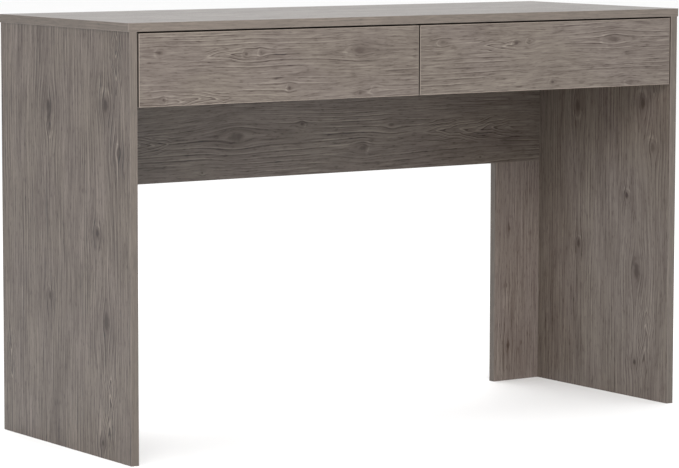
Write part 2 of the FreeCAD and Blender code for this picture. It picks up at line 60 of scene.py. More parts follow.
# ---- node trees ----------------------------------------------------------------------------------------
class Signal:
    """An output in a node tree. Arithmetic on it adds Math nodes."""

    def __init__(self, wiring: "Wiring", socket: bpy.types.NodeSocket) -> None:
        """Keeps the output and the tree that it is in."""
        self.wiring = wiring
        self.socket = socket

    def __add__(self, other: object) -> "Signal":
        """The sum."""
        return self.wiring.math("ADD", self, other)

    def __sub__(self, other: object) -> "Signal":
        """The difference."""
        return self.wiring.math("SUBTRACT", self, other)

    def __rsub__(self, other: object) -> "Signal":
        """A number less this."""
        return self.wiring.math("SUBTRACT", other, self)

    def __mul__(self, other: object) -> "Signal":
        """The product."""
        return self.wiring.math("MULTIPLY", self, other)

    def __truediv__(self, other: object) -> "Signal":
        """The quotient."""
        return self.wiring.math("DIVIDE", self, other)

    def __abs__(self) -> "Signal":
        """Its size without the sign."""
        return self.wiring.math("ABSOLUTE", self)

    __radd__ = __add__
    __rmul__ = __mul__


class Wiring:
    """Short calls that add nodes to one tree and join them."""

    def __init__(self, tree: bpy.types.NodeTree) -> None:
        """Takes the tree to build in."""
        self.tree = tree

    def node(self, kind: str, **settings: object) -> bpy.types.Node:
        """Adds a node and sets its properties.

        Args:
            kind: The node's type name.
            settings: Property names and values.

        Returns:
            The new node.
        """
        made = self.tree.nodes.new(kind)
        for name, value in settings.items():
            setattr(made, name, value)
        return made

    def feed(self, socket: bpy.types.NodeSocket, value: object) -> None:
        """Links a socket to a signal, or sets its value.

        Args:
            socket: The input to fill.
            value: A signal, a number or a sequence.
        """
        if isinstance(value, Signal):
            self.tree.links.new(value.socket, socket)
        else:
            socket.default_value = value

    def put(self, kind: str, inputs: dict[object, object], output: object = 0, **settings: object) -> Signal:
        """Adds a node with its inputs fed.

        Args:
            kind: The node's type name.
            inputs: Values by the sockets' names or numbers.
            output: Name or number of the output that is wanted.
            settings: Property names and values.

        Returns:
            That output.
        """
        made = self.node(kind, **settings)
        for key, value in inputs.items():
            self.feed(made.inputs[key], value)
        return Signal(self, made.outputs[output])

    def math(self, operation: str, *values: object) -> Signal:
        """A Math node."""
        return self.put("ShaderNodeMath", dict(enumerate(values)), operation=operation)

    def larger(self, first: object, second: object) -> Signal:
        """The larger of two values."""
        return self.math("MAXIMUM", first, second)

    def remap(self, value: object, low: float, high: float, to_low: float = 0.0, to_high: float = 1.0,
              smooth: bool = True) -> Signal:
        """Carries a value from one range to another, held at both ends.

        Args:
            value: The value.
            low: Start of the range it comes from.
            high: End of that range.
            to_low: Result at low.
            to_high: Result at high.
            smooth: Whether the change eases in and out.

        Returns:
            The result.
        """
        eased = "SMOOTHSTEP" if smooth else "LINEAR"
        ends = dict(enumerate((value, low, high, to_low, to_high)))
        return self.put("ShaderNodeMapRange", ends, interpolation_type=eased)

    def join(self, x: object, y: object, z: object = 0.0) -> Signal:
        """A vector of three values."""
        return self.put("ShaderNodeCombineXYZ", {0: x, 1: y, 2: z})

    def parts(self, vector: object) -> list[Signal]:
        """The X, Y and Z of a vector."""
        made = self.node("ShaderNodeSeparateXYZ")
        self.feed(made.inputs[0], vector)
        return [Signal(self, socket) for socket in made.outputs]

    def noise(self, vector: object, scale: float = 1.0, detail: float = 2.0, roughness: float = 0.5,
              distortion: float = 0.0) -> Signal:
        """Adds a Noise Texture.

        Args:
            vector: Where it is read.
            scale: Its frequency.
            detail: Number of finer layers.
            roughness: Weight of the finer layers.
            distortion: How far it is bent by itself.

        Returns:
            Its value.
        """
        inputs = {"Vector": vector, "Scale": scale, "Detail": detail, "Roughness": roughness,
                  "Distortion": distortion}
        return self.put("ShaderNodeTexNoise", inputs, "Fac")

    def blend(self, factor: object, first: object, second: object) -> Signal:
        """Mixes two colours by a factor."""
        return self.put("ShaderNodeMix", {0: factor, 6: first, 7: second}, 2, data_type="RGBA")

    def between(self, factor: object, first: object, second: object) -> Signal:
        """Mixes two numbers by a factor."""
        return self.put("ShaderNodeMix", {0: factor, 2: first, 3: second}, data_type="FLOAT")

    def scale(self, vector: object, factor: object) -> Signal:
        """A vector or colour times a factor."""
        return self.put("ShaderNodeVectorMath", {0: vector, "Scale": factor}, operation="SCALE")

    def vectors(self, operation: str, first: object, second: object) -> Signal:
        """A Vector Math node on two vectors."""
        return self.put("ShaderNodeVectorMath", {0: first, 1: second}, operation=operation)


def floats(*names: str) -> dict[str, str]:
    """Number sockets of those names."""
    return dict.fromkeys(names, "Float")


class Effect:
    """A shader node group that several materials share."""

    def __init__(self, name: str, inputs: dict[str, str], outputs: dict[str, str]) -> None:
        """Makes the group and its sockets.

        Args:
            name: The group's name.
            inputs: Socket names and their kinds: Float, Color or Vector.
            outputs: The same for what it puts out.
        """
        self.tree = bpy.data.node_groups.new(name, "ShaderNodeTree")
        for way, sockets in (("INPUT", inputs), ("OUTPUT", outputs)):
            for label, kind in sockets.items():
                self.tree.interface.new_socket(name=label, in_out=way, socket_type="NodeSocket" + kind)
        self.wiring = Wiring(self.tree)
        given = self.wiring.node("NodeGroupInput").outputs
        self.given = {label: Signal(self.wiring, given[label]) for label in inputs}
        self.result = self.wiring.node("NodeGroupOutput").inputs

    def give(self, **values: object) -> None:
        """Feeds the group's outputs, by name."""
        for name, value in values.items():
            self.wiring.feed(self.result[name], value)

    def place(self, wiring: Wiring, **values: object) -> dict[str, Signal]:
        """Puts the group into a tree.

        Args:
            wiring: The tree to use it in.
            values: Values for its inputs, by name.

        Returns:
            The placed group's outputs.
        """
        made = wiring.node("ShaderNodeGroup")
        made.node_tree = self.tree
        for name, value in values.items():
            wiring.feed(made.inputs[name], value)
        return {socket.name: Signal(wiring, socket) for socket in made.outputs}


# ---- effects shared by the materials -------------------------------------------------------------------
def knot_effect() -> Effect:
    """Parts the grain round one knot, like water round a stone, and marks the knot's core, halo and curl.

    Returns:
        The group. Shift adds up over a board's knots; Core, Halo and Curl keep the strongest so far.
    """
    tally = floats("Shift", "Core", "Halo", "Curl")
    own = floats("Along", "Across", "AtAlong", "AtAcross", "Radius", "Stretch", "Depth", "Side")
    effect = Effect("knot", own | tally, tally)
    w, given = effect.wiring, effect.given
    radius, depth = given["Radius"], given["Depth"]
    along = (given["Along"] - given["AtAlong"]) / given["Stretch"]
    across = given["Across"] - given["AtAcross"]
    rough_edge = 130.0  # per metre
    ragged = w.noise(w.join(along * rough_edge, across * rough_edge, given["AtAlong"]))
    ragged = w.remap(ragged, 0.25, 0.75, 0.72, 1.32, smooth=False)
    far = along * along + across * across
    size = radius * radius
    reach = w.math("SQRT", far) / radius * ragged
    ring = w.remap(reach, 0.75, 1.05) * w.remap(reach, 1.05, 1.45, 1.0, 0.0)
    side = w.remap(along * given["Side"] / radius, 0.1, 0.8)
    effect.give(
        Shift=given["Shift"] + across * size / (far + size),
        Core=w.larger(given["Core"], w.remap(reach, 0.18, 0.62, 1.0, 0.0) * depth),
        Halo=w.larger(given["Halo"], w.remap(reach, 0.25, 2.6, 1.0, 0.0) * depth),
        Curl=w.larger(given["Curl"], ring * side),
    )
    return effect


def arch_effect() -> Effect:
    """Draws nested arches that close one after another along the board, where the saw runs out of the rings.

    Returns:
        The group. Lines is negative on dark lines and positive beside them, and Mark covers the arches.
    """
    tally = floats("Lines", "Mark")
    own = floats("Along", "Across", "AtAlong", "AtAcross", "Length", "Width", "Slope")
    effect = Effect("arch", own | tally, tally)
    w, given = effect.wiring, effect.given
    width, lines_per_metre = given["Width"], 170.0
    along = given["Along"] - given["AtAlong"]
    sway = w.noise(w.join(along * 14.0, given["AtAcross"], given["AtAlong"]), detail=1.0)
    across = given["Across"] - given["AtAcross"] + (sway - 0.5) * width
    near_along, near_across = (w.remap(abs(share), 0.55, 1.0, 1.0, 0.0)
                               for share in (along / given["Length"], across / width))
    window = near_along * near_across
    tip = width * 0.10
    ring = w.math("SQRT", across * across + tip * tip) - along * given["Slope"]
    spaced = w.noise(w.join(ring * 60.0, given["AtAlong"], given["AtAcross"]), detail=1.0)
    wander = w.noise(w.join(along * 60.0, across * 200.0, 0.7), detail=1.0)
    turns = (ring * lines_per_metre + spaced * 2.5 + wander * 0.5) * TURN
    dark = w.remap(w.math("SINE", turns), 0.35, 1.0)
    light = w.remap(w.math("SINE", turns - 1.3), 0.45, 1.0)
    effect.give(Lines=given["Lines"] + (light - dark) * window, Mark=w.larger(given["Mark"], window))
    return effect


@dataclass(frozen=True)
class Streaks:
    """Noise drawn out along the grain.

    Attributes:
        along: Its frequency along the grain, per metre.
        across: Its frequency across the grain, per metre.
        place: Its place in the noise.
        detail: Number of finer layers.
    """

    along: float
    across: float
    place: float
    detail: float = 2.0

    def draw(self, effect: Effect, across: object, along: object = None) -> Signal:
        """Adds the noise to the wood print.

        Args:
            effect: The print's group.
            across: The position across the grain.
            along: Another frequency along the grain, if it is not the same for all boards.

        Returns:
            Its value.
        """
        w, given = effect.wiring, effect.given
        where = w.join(given["Along"] * (self.along if along is None else along), across * self.across,
                       given["Seed"] + self.place)
        return w.noise(where, detail=self.detail, roughness=0.6)


SLOW_BEND = Streaks(1.5, 5.0, 0.0, 1.0)
QUICK_BEND = Streaks(14.0, 22.0, 2.0, 1.0)
RING_DRIFT = Streaks(1.3, 10.0, 3.7, 1.0)
RING_PATCHES = Streaks(4.5, 30.0, 9.1)
DASHES = Streaks(0.0, 340.0, 5.9)
MEDIUM = Streaks(13.0, 190.0, 1.3)
BROAD = Streaks(1.6, 26.0, 7.7)
CLOUDS = Streaks(9.0, 14.0, 11.0, 1.5)
PORES = Streaks(60.0, 400.0, 15.0, 1.0)
HUES = Streaks(6.0, 11.0, 13.0, 1.0)
RINGS_PER_METRE = 115.0
LIGHT_SIDE = 1.15           # angle from a growth line's dark side to its light side
PLAIN_VALUE = 1.04          # of the print between its marks


def print_effect() -> Effect:
    """The wood print: short dashes, growth lines with a light and a dark side, pores and slow drifts.

    Returns:
        The group. Value multiplies the board's colour, Hue drifts from warm to cool, and Relief is for bump.
    """
    effect = Effect("wood_print", floats("Along", "Across", "Shift", "Mark", "Lines", "Lift", "Seed", "Growth",
                                         "Fine", "Broad", "Dashes"), floats("Value", "Hue", "Relief"))
    w, given = effect.wiring, effect.given
    slow = SLOW_BEND.draw(effect, given["Across"]) - 0.5
    quick = QUICK_BEND.draw(effect, given["Across"]) - 0.5
    flow = given["Across"] - given["Shift"] + (slow * 0.030 + quick * 0.0024)

    # growth lines: contours of the flow, which come and go, and are always there round a knot
    turns = (flow * RINGS_PER_METRE + RING_DRIFT.draw(effect, flow) * given["Growth"]) * TURN
    patch = w.remap(RING_PATCHES.draw(effect, flow) + given["Lift"] * 0.25, 0.42, 0.62) * (1.0 - given["Mark"])
    dark_line = w.remap(w.math("SINE", turns), 0.55, 1.0) * patch
    light_line = w.remap(w.math("SINE", turns - LIGHT_SIDE), 0.55, 1.0) * patch

    # dashes along the grain: a dark and a light kind, with plain print between them
    dashes = DASHES.draw(effect, flow, given["Dashes"])
    fine = w.remap(dashes, 0.47, 0.34) - w.remap(dashes, 0.53, 0.66)
    medium, broad, clouds = (w.remap(layer.draw(effect, flow), 0.32, 0.68, -1.0, 1.0, smooth=False)
                             for layer in (MEDIUM, BROAD, CLOUDS))
    pores = w.remap(PORES.draw(effect, flow), 0.55, 0.70)

    small = sum(layer * amount for layer, amount in ((fine, 0.26), (pores, -0.30)))
    large = sum(layer * amount for layer, amount in (
        (medium, 0.10), (broad, 0.07), (clouds, 0.05), (dark_line, -0.36), (light_line, 0.34),
        (given["Lines"], 0.44)))
    effect.give(
        Value=small * given["Fine"] + large * given["Broad"] + PLAIN_VALUE,
        Hue=w.remap(HUES.draw(effect, given["Across"]), 0.36, 0.64),
        Relief=fine * 0.3 - (dark_line + pores),
    )
    return effect


def chip_effect() -> Effect:
    """Particleboard where it is cut or drilled: pale and dark chips pressed together."""
    effect = Effect("chipboard", {"Vector": "Vector"}, {"Color": "Color", "Height": "Float"})
    w = effect.wiring
    where = {"Vector": effect.given["Vector"], "Scale": 620.0}
    chips = w.put("ShaderNodeTexVoronoi", where, "Color", feature="F1")
    tint = w.node("ShaderNodeSeparateColor")
    w.feed(tint.inputs[0], chips)
    darkness, height = (Signal(w, socket) for socket in tint.outputs[:2])
    colour = w.blend(darkness, (0.17, 0.115, 0.068, 1.0), (0.31, 0.23, 0.145, 1.0))
    effect.give(Color=colour, Height=height * 0.5)
    return effect


def rim_effect() -> Effect:
    """Marks what lies near the edges of a piece's box, where hands and neighbours rub it.

    Returns:
        The group. Mask is 1 on a worn edge and 0 away from one.
    """
    effect = Effect("rim_wear", dict.fromkeys(("Vector", "Low", "High"), "Vector") | floats("Width", "Seed"),
                    floats("Mask"))
    w, given = effect.wiring, effect.given
    rises = w.vectors("SUBTRACT", given["Vector"], given["Low"])
    falls = w.vectors("SUBTRACT", given["High"], given["Vector"])
    x, y, z = (abs(part) / given["Width"] for part in w.parts(w.vectors("MINIMUM", rises, falls)))
    # a point on a face has one distance of nothing, so the edge is where the middle one is small too
    middle = w.larger(w.math("MINIMUM", x, y), w.math("MINIMUM", w.larger(x, y), z))
    rub = w.noise(given["Vector"], 45.0, 3.0, 0.6)
    rub = w.noise(w.join(rub, given["Seed"], middle), 3.0, 1.0)
    effect.give(Mask=w.remap(middle, 0.0, 1.0, 1.0, 0.0) * w.remap(rub, 0.35, 0.65))
    return effect


def speckle_effect() -> Effect:
    """Fine even grain with slow cloudiness, as on lacquer, powder coat, moulded plastic and plated steel.

    Returns:
        The group. Grain and Cloud are both around 0.5.
    """
    effect = Effect("speckle", {"Vector": "Vector"} | floats("Scale"), floats("Grain", "Cloud"))
    w, given = effect.wiring, effect.given
    effect.give(
        Grain=w.noise(given["Vector"], given["Scale"], 3.0, 0.6),
        Cloud=w.noise(given["Vector"], given["Scale"] * 0.04),
    )
    return effect


@dataclass(frozen=True)
class EffectKit:
    """The shared shader groups."""

    knot: Effect = field(default_factory=knot_effect)
    arch: Effect = field(default_factory=arch_effect)
    wood_print: Effect = field(default_factory=print_effect)
    chipboard: Effect = field(default_factory=chip_effect)
    rim_wear: Effect = field(default_factory=rim_effect)
    speckle: Effect = field(default_factory=speckle_effect)


# ---- finishes ------------------------------------------------------------------------------------------
def scaled(colour: Colour, factor: float = 1.0) -> tuple[float, float, float, float]:
    """A colour times a factor, with its alpha."""
    return tuple(factor * part for part in colour) + (1.0,)


class Way(Enum):
    """Which object axes run along the grain, across it and through the board."""

    ALONG_X_FLAT = ("X", "Y", "Z")
    ALONG_X_UPRIGHT = ("X", "Z", "Y")
    ALONG_Z_SIDE = ("Z", "Y", "X")
    ALONG_Z_BACK = ("Z", "X", "Y")
    ALONG_Y_SIDE = ("Y", "Z", "X")


@dataclass(frozen=True)
class Knot:
    """A knot at a share of the board's length and width.

    Attributes:
        along: Share of the board's length.
        across: Share of its width.
        radius: Half the width of the knot's ring, in metres.
        depth: How dark it is; the darkest are above 1.
        stretch: How much longer than wide it is.
        curl: The end, 1 or -1, that carries a light curl, or 0.
    """

    along: float
    across: float
    radius: float
    depth: float = 0.6
    stretch: float = 1.6
    curl: float = 0.0


@dataclass(frozen=True)
class Arch:
    """Nested arches at a share of the board's length and width.

    Attributes:
        along: Share of the board's length.
        across: Share of its width.
        length: Half the patch's length, in metres.
        width: Half its width, in metres.
        slope: How fast the arches close; its sign is the way they open.
    """

    along: float
    across: float
    length: float
    width: float
    slope: float


class Bench:
    """A material under work: its tree, its shader, the point that is shaded and the piece's box."""

    def __init__(self, name: str, kit: EffectKit, low: Vector, high: Vector) -> None:
        """Starts a material.

        Args:
            name: Its name.
            kit: The shared effects.
            low: The piece's lowest corner.
            high: Its highest corner.
        """
        self.kit, self.low, self.high = kit, low, high
        self.material = bpy.data.materials.new(name)
        self.material.use_nodes = True
        self.wiring = Wiring(self.material.node_tree)
        self.shader = self.material.node_tree.nodes["Principled BSDF"]
        self.where = self.wiring.put("ShaderNodeTexCoord", {}, "Object")

    def axes(self) -> dict[str, Signal]:
        """The point's X, Y and Z."""
        return dict(zip("XYZ", self.wiring.parts(self.where)))

    def looks(self) -> dict[str, Signal]:
        """The X, Y and Z of the way that the face looks."""
        normal = self.wiring.put("ShaderNodeNewGeometry", {}, "True Normal")
        return dict(zip("XYZ", self.wiring.parts(normal)))

    def faces(self, axis: str) -> Signal:
        """Is 1 on faces across an axis, and 0 elsewhere."""
        return self.wiring.math("GREATER_THAN", abs(self.looks()[axis]), 0.9)

    def speckle(self, scale: float, where: object = None) -> tuple[Signal, Signal]:
        """The grain and the cloud of a speckle of some scale."""
        out = self.kit.speckle.place(self.wiring, Vector=where or self.where, Scale=scale)
        return out["Grain"], out["Cloud"]

    def wear(self, width: float, seed: float) -> Signal:
        """Where the piece's edges are rubbed, over a width in millimetres."""
        return self.kit.rim_wear.place(self.wiring, Vector=self.where, Low=self.low, High=self.high,
                                       Width=width * MM, Seed=seed)["Mask"]

    def shade(self, colour: object, rough: object, relief: object, strength: float, depth: float) -> None:
        """Feeds the shader.

        Args:
            colour: The base colour.
            rough: The roughness.
            relief: A height, which becomes the normal.
            strength: Strength of the bump.
            depth: What a height of 1 stands for, in millimetres.
        """
        bump = {"Strength": strength, "Distance": depth * MM, "Height": relief}
        normal = self.wiring.put("ShaderNodeBump", bump)
        for name, value in (("Base Color", colour), ("Roughness", rough), ("Normal", normal)):
            self.wiring.feed(self.shader.inputs[name], value)


@dataclass(frozen=True)
class Finish:
    """A surface that can be put on a piece.

    Attributes:
        name: The material's name.
    """

    name: str

    def material(self, kit: EffectKit, node: str) -> bpy.types.Material:
        """Builds the material for a CAD node.

        Args:
            kit: The shared effects.
            node: The node's name.

        Returns:
            The material.
        """
        bench = Bench(self.name, kit, *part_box(node))
        self.paint(bench)
        return bench.material

    def paint(self, bench: Bench) -> None:
        """Works out the surface on a material's bench."""
        raise NotImplementedError


KNOT_MARKS = {"Halo": -0.34, "Core": -0.95, "Curl": 0.55}     # how each mark changes the print's value
BARE_ROUGHNESS = 0.85                                          # of cut particleboard and bare fibreboard


@dataclass(frozen=True)
class Laminate(Finish):
    """Printed laminate on particleboard.

    Attributes:
        way: How the grain lies on the board.
        seed: Place in the endless print.
        painted_light_and_shade: Factor on the print's colours: painted light and shade, set board by board for
            how each is lit.
        fine: Strength of the dashes and pores.
        broad: Strength of the wider streaks and growth lines.
        dashes: Number of dashes along a metre of grain.
        growth: How strongly growth lines wander.
        gloss: Roughness of the laminate.
        warm: The print where it is warmest.
        cool: The print where it is coolest.
        dark: What its darkest lines tend to.
        knots: The board's knots.
        arches: Its placed arches.
    """

    way: Way = Way.ALONG_X_UPRIGHT
    seed: float = 0.0
    painted_light_and_shade: float = 1.0
    fine: float = 1.0
    broad: float = 1.0
    dashes: float = 24.0
    growth: float = 3.0
    gloss: float = 0.42
    warm: Colour = (0.0835, 0.0668, 0.0540)
    cool: Colour = (0.0832, 0.0660, 0.0552)
    dark: Colour = (0.019, 0.008, 0.004)
    knots: tuple[Knot, ...] = ()
    arches: tuple[Arch, ...] = ()

    def paint(self, bench: Bench) -> None:
        """Draws the print with its knots and arches, and bare chipboard on the board's cut faces.

        Args:
            bench: The material's bench.
        """
        w, kit, axes = bench.wiring, bench.kit, bench.axes()
        *grain, through = self.way.value
        point = {"Along": axes[grain[0]], "Across": axes[grain[1]]}
        starts, ends = ([getattr(corner, axis.lower()) for axis in grain] for corner in (bench.low, bench.high))

        def place(mark: Knot | Arch) -> dict[str, object]:
            """The shaded point and the middle of a mark."""
            middle = [low + share * (high - low)
                      for low, high, share in zip(starts, ends, (mark.along, mark.across))]
            return point | {"AtAlong": middle[0], "AtAcross": middle[1]}

        bent = dict.fromkeys(("Shift", "Core", "Halo", "Curl"), 0.0)
        for knot in self.knots:
            bent = kit.knot.place(w, Radius=knot.radius, Stretch=knot.stretch, Depth=knot.depth, Side=knot.curl,
                                  **place(knot), **bent)
        drawn = {"Lines": 0.0, "Mark": 0.0}
        for arch in self.arches:
            drawn = kit.arch.place(w, Length=arch.length, Width=arch.width, Slope=arch.slope,
                                   **place(arch), **drawn)
        ink = kit.wood_print.place(w, Shift=bent["Shift"], Lift=bent["Halo"], Seed=self.seed, Growth=self.growth,
                                   Fine=self.fine, Broad=self.broad, Dashes=self.dashes, **point, **drawn)
        value = ink["Value"]
        for name, amount in KNOT_MARKS.items():
            value = value * (w.math("MULTIPLY", bent[name], amount) + 1.0)
        # brightness is painted light and shade: it lightens or darkens this board's print to stand for how the
        # board is lit
        deep, warm, cool = (Vector(scaled(shade, self.painted_light_and_shade)[:3])
                            for shade in (self.dark, self.warm, self.cool))
        above_deep = w.blend(ink["Hue"], tuple((warm - deep).to_4d()), tuple((cool - deep).to_4d()))
        tinted = w.vectors("ADD", w.scale(above_deep, value), tuple(deep))
        chips = kit.chipboard.place(w, Vector=bench.where)
        face = bench.faces(through)
        rough = w.remap(value, 0.6, 1.4, self.gloss + 0.05, self.gloss - 0.03, smooth=False)
        bench.shade(w.blend(face, chips["Color"], tinted), w.between(face, BARE_ROUGHNESS, rough),
                    w.between(face, chips["Height"], ink["Relief"]), 0.10, 0.1)


@dataclass(frozen=True)
class EdgeStrip(Finish):
    """Plastic edging with a plainer print along its length, rubbed paler at its outer corners.

    Attributes:
        way: Which axes run along the strip and across it.
        turned: The same for strips whose faces look along X.
        painted_light_and_shade: Factor on the print's colours: painted light and shade, set strip by strip for
            how each is lit.
        ends: Factor on the colour of the faces that look along X: painted shade for the gaps between drawer
            fronts.
    """

    way: Way = Way.ALONG_X_UPRIGHT
    turned: Way = Way.ALONG_Y_SIDE
    painted_light_and_shade: float = 1.0
    ends: float = 1.0
    shade: Colour = (0.090, 0.0730, 0.0600)
    worn: Colour = (0.19, 0.165, 0.145)

    def paint(self, bench: Bench) -> None:
        """Draws the strip's print, one way for strips that look along X and another for the rest.

        Args:
            bench: The material's bench.
        """
        w, axes, face = bench.wiring, bench.axes(), bench.faces("X")
        along, across = (w.between(face, axes[plain], axes[turned])
                         for plain, turned in zip(self.way.value[:2], self.turned.value[:2]))
        ink = bench.kit.wood_print.place(w, Along=along, Across=across, Shift=0.0, Mark=0.0, Lines=0.0, Lift=0.0,
                                         Seed=200.0, Growth=1.0, Fine=1.2, Broad=1.0, Dashes=24.0)
        # Painted light and shade: brightness lightens or darkens the whole strip, and ends darkens its faces
        # that look along X as shade in the gaps between the drawer fronts
        faint = (ink["Value"] * 0.55 + 0.45) * w.between(face, 1.0, self.ends)
        tinted = w.scale(scaled(self.shade, self.painted_light_and_shade)[:3], faint)
        rub = bench.wear(1.1, 4.0)
        rough = w.remap(rub, 0.0, 1.0, 0.48, 0.36, smooth=False)
        bench.shade(w.blend(rub * 0.55, tinted, scaled(self.worn)), rough, ink["Relief"], 0.06, 0.05)


@dataclass(frozen=True)
class PlainLaminate(Finish):
    """Plain light laminate on particleboard, for the drawer boxes.

    Attributes:
        through: The axis through the board.
        colour: The laminate's colour.
    """

    through: str = "X"
    colour: Colour = (0.255, 0.242, 0.222)

    def paint(self, bench: Bench) -> None:
        """Draws the laminate with its fine stipple, and bare chipboard on the board's cut faces.

        Args:
            bench: The material's bench.
        """
        w = bench.wiring
        grain, cloud = bench.speckle(900.0)
        scuffs = bench.wear(3.0, 9.0)
        shade = w.blend(cloud, scaled(self.colour, 0.93), scaled(self.colour, 1.06))
        shade = w.blend(w.remap(grain, 0.55, 0.7, 0.0, 0.35), shade, scaled(self.colour, 0.80))
        shade = w.blend(scuffs * 0.25, shade, scaled(self.colour, 0.7))
        chips = bench.kit.chipboard.place(w, Vector=bench.where)
        face = bench.faces(self.through)
        bench.shade(w.blend(face, chips["Color"], shade),
                    w.between(face, BARE_ROUGHNESS, w.remap(grain, 0.3, 0.7, 0.42, 0.56)),
                    w.between(face, chips["Height"], grain), 0.12, 0.06)


@dataclass(frozen=True)
class Hardboard(Finish):
    """Thin fibreboard, lacquered light grey above and bare brown with a screen's weave below."""

    lacquer: Colour = (0.265, 0.250, 0.228)
    fibre: Colour = (0.105, 0.058, 0.030)
    weave_pitch: float = 1.6 * MM

    def paint(self, bench: Bench) -> None:
        """Draws both faces, told apart by which way they look.

        Args:
            bench: The material's bench.
        """
        w, axes = bench.wiring, bench.axes()
        above = w.math("GREATER_THAN", bench.looks()["Z"], 0.5)
        grain, cloud = bench.speckle(700.0)
        hairs = w.noise(w.join(axes["X"] * 260.0, axes["Y"] * 900.0, 3.0), 1.0, 3.0, 0.7, 2.5)
        weave = w.larger(*(w.math("SINE", axes[axis] * (TURN / self.weave_pitch)) for axis in "XY"))
        bare = w.blend(w.remap(hairs, 0.35, 0.65), scaled(self.fibre, 0.65), scaled(self.fibre, 1.5))
        bare = w.blend(w.remap(weave, 0.4, 1.0, 0.0, 0.3), bare, scaled(self.fibre, 0.6))
        top = w.blend(cloud, scaled(self.lacquer, 0.92), scaled(self.lacquer, 1.05))
        top = w.blend(w.remap(hairs, 0.55, 0.75, 0.0, 0.3), top, scaled(self.lacquer, 0.8))
        rough = w.remap(grain, 0.3, 0.7, 0.35, 0.5)
        bench.shade(w.blend(above, bare, top), w.between(above, BARE_ROUGHNESS, rough),
                    w.between(above, weave, grain), 0.25, 0.12)


@dataclass(frozen=True)
class Coated(Finish):
    """Powder coat, moulded plastic or bare metal: a shade with cloudiness, fine relief and rubbed edges.

    Attributes:
        colour: The colour.
        worn: The colour where it is rubbed.
        rough: The lowest and highest roughness.
        metal: How metallic it is.
        scale: Frequency of the fine relief, per metre.
        strength: Strength of the relief.
        drawn: How much longer the relief is along X than across, for drawn or turned metal.
        wear: How strongly edges are rubbed.
        glow: Share of light that goes through the skin of a plastic.
    """

    colour: Colour = (0.8, 0.8, 0.78)
    worn: Colour = (0.6, 0.6, 0.6)
    rough: tuple[float, float] = (0.3, 0.45)
    metal: float = 0.0
    scale: float = 1200.0
    strength: float = 0.15
    drawn: float = 1.0
    wear: float = 0.3
    glow: float = 0.0

    def paint(self, bench: Bench) -> None:
        """Draws the coat.

        Args:
            bench: The material's bench.
        """
        w, shader = bench.wiring, bench.shader
        squeezed = w.put("ShaderNodeMapping", {"Vector": bench.where, "Scale": (1.0 / self.drawn, 1.0, 1.0)})
        grain, cloud = bench.speckle(self.scale, squeezed)
        rub = bench.wear(1.4, 17.0)
        shade = w.blend(cloud, scaled(self.colour, 0.86), scaled(self.colour, 1.08))
        shade = w.blend(w.remap(grain, 0.5, 0.75, 0.0, 0.3), shade, scaled(self.colour, 0.78))
        bench.shade(w.blend(rub * self.wear, shade, scaled(self.worn)),
                    w.remap(w.between(0.5, grain, cloud), 0.35, 0.65, *self.rough), grain, self.strength, 0.05)
        shader.inputs["Metallic"].default_value = self.metal
        if self.glow:
            shader.inputs["Subsurface Weight"].default_value = self.glow
            shader.inputs["Subsurface Radius"].default_value = (1.0, 0.9, 0.7)
            shader.inputs["Subsurface Scale"].default_value = 1.5 * MM


@dataclass(frozen=True)
class TurnedBeech(Finish):
    """Beech turned into dowels: pale wood with short dark rays."""

    pale: Colour = (0.36, 0.235, 0.135)
    dark: Colour = (0.25, 0.145, 0.075)

    def paint(self, bench: Bench) -> None:
        """Draws the wood.

        Args:
            bench: The material's bench.
        """
        w, axes = bench.wiring, bench.axes()
        rays = w.noise(w.join(axes["X"] * 900.0, axes["Y"] * 2200.0, axes["Z"] * 700.0), 1.0, 2.0, 0.6)
        shade = w.blend(w.noise(bench.where, 240.0), scaled(self.dark, 1.1), scaled(self.pale))
        shade = w.blend(w.remap(rays, 0.55, 0.72, 0.0, 0.6), shade, scaled(self.dark, 0.8))
        bench.shade(shade, w.remap(rays, 0.3, 0.7, 0.55, 0.7), rays, 0.2, 0.08)


RUNNER_COAT = Coated("white_powder_coat", (0.40, 0.40, 0.385), (0.24, 0.24, 0.245), (0.30, 0.42), scale=1500.0,
                     strength=0.22, wear=0.25)
NYLON = Coated("natural_nylon", (0.46, 0.45, 0.41), (0.34, 0.33, 0.30), (0.35, 0.5), scale=900.0, strength=0.12,
               wear=0.2, glow=0.15)
PLATED_PIN = Coated("plated_pin", (0.60, 0.60, 0.61), (0.7, 0.7, 0.7), (0.25, 0.42), 1.0, 2500.0, drawn=0.3)
PLATED_BOLT = Coated("plated_bolt", (0.60, 0.60, 0.62), (0.7, 0.7, 0.7), (0.24, 0.4), 1.0, 2500.0, drawn=3.0)
PLATED_SCREW = Coated("plated_screw", (0.62, 0.60, 0.53), (0.7, 0.69, 0.65), (0.25, 0.4), 1.0, 2500.0,
                      drawn=2.0)
DIE_CAST = Coated("die_cast_zinc", (0.48, 0.48, 0.49), (0.6, 0.6, 0.6), (0.42, 0.6), 1.0, 1600.0, 0.35)
CAP_PLASTIC = Coated("cap_plastic", (0.092, 0.075, 0.063), (0.15, 0.13, 0.11), (0.45, 0.6), 0.0, 1300.0, 0.25)
BOX_STRIP = Coated("box_edging", (0.270, 0.256, 0.236), (0.33, 0.32, 0.30), (0.4, 0.52), 0.0, 700.0, 0.1)
BEECH = TurnedBeech("turned_beech")


# ---- turned fittings -----------------------------------------------------------------------------------
@dataclass(frozen=True)
class Ring:
    """One ring of a turned outline, in millimetres from the wide end.

    Attributes:
        radius: Its radius.
        height: Its distance from the wide end.
        lobes: Share of the radius that is taken off between lobes or flutes.
        thread: Share of the thread's depth that is cut here.
    """

    radius: float
    height: float
    lobes: float = 0.0
    thread: float = 0.0


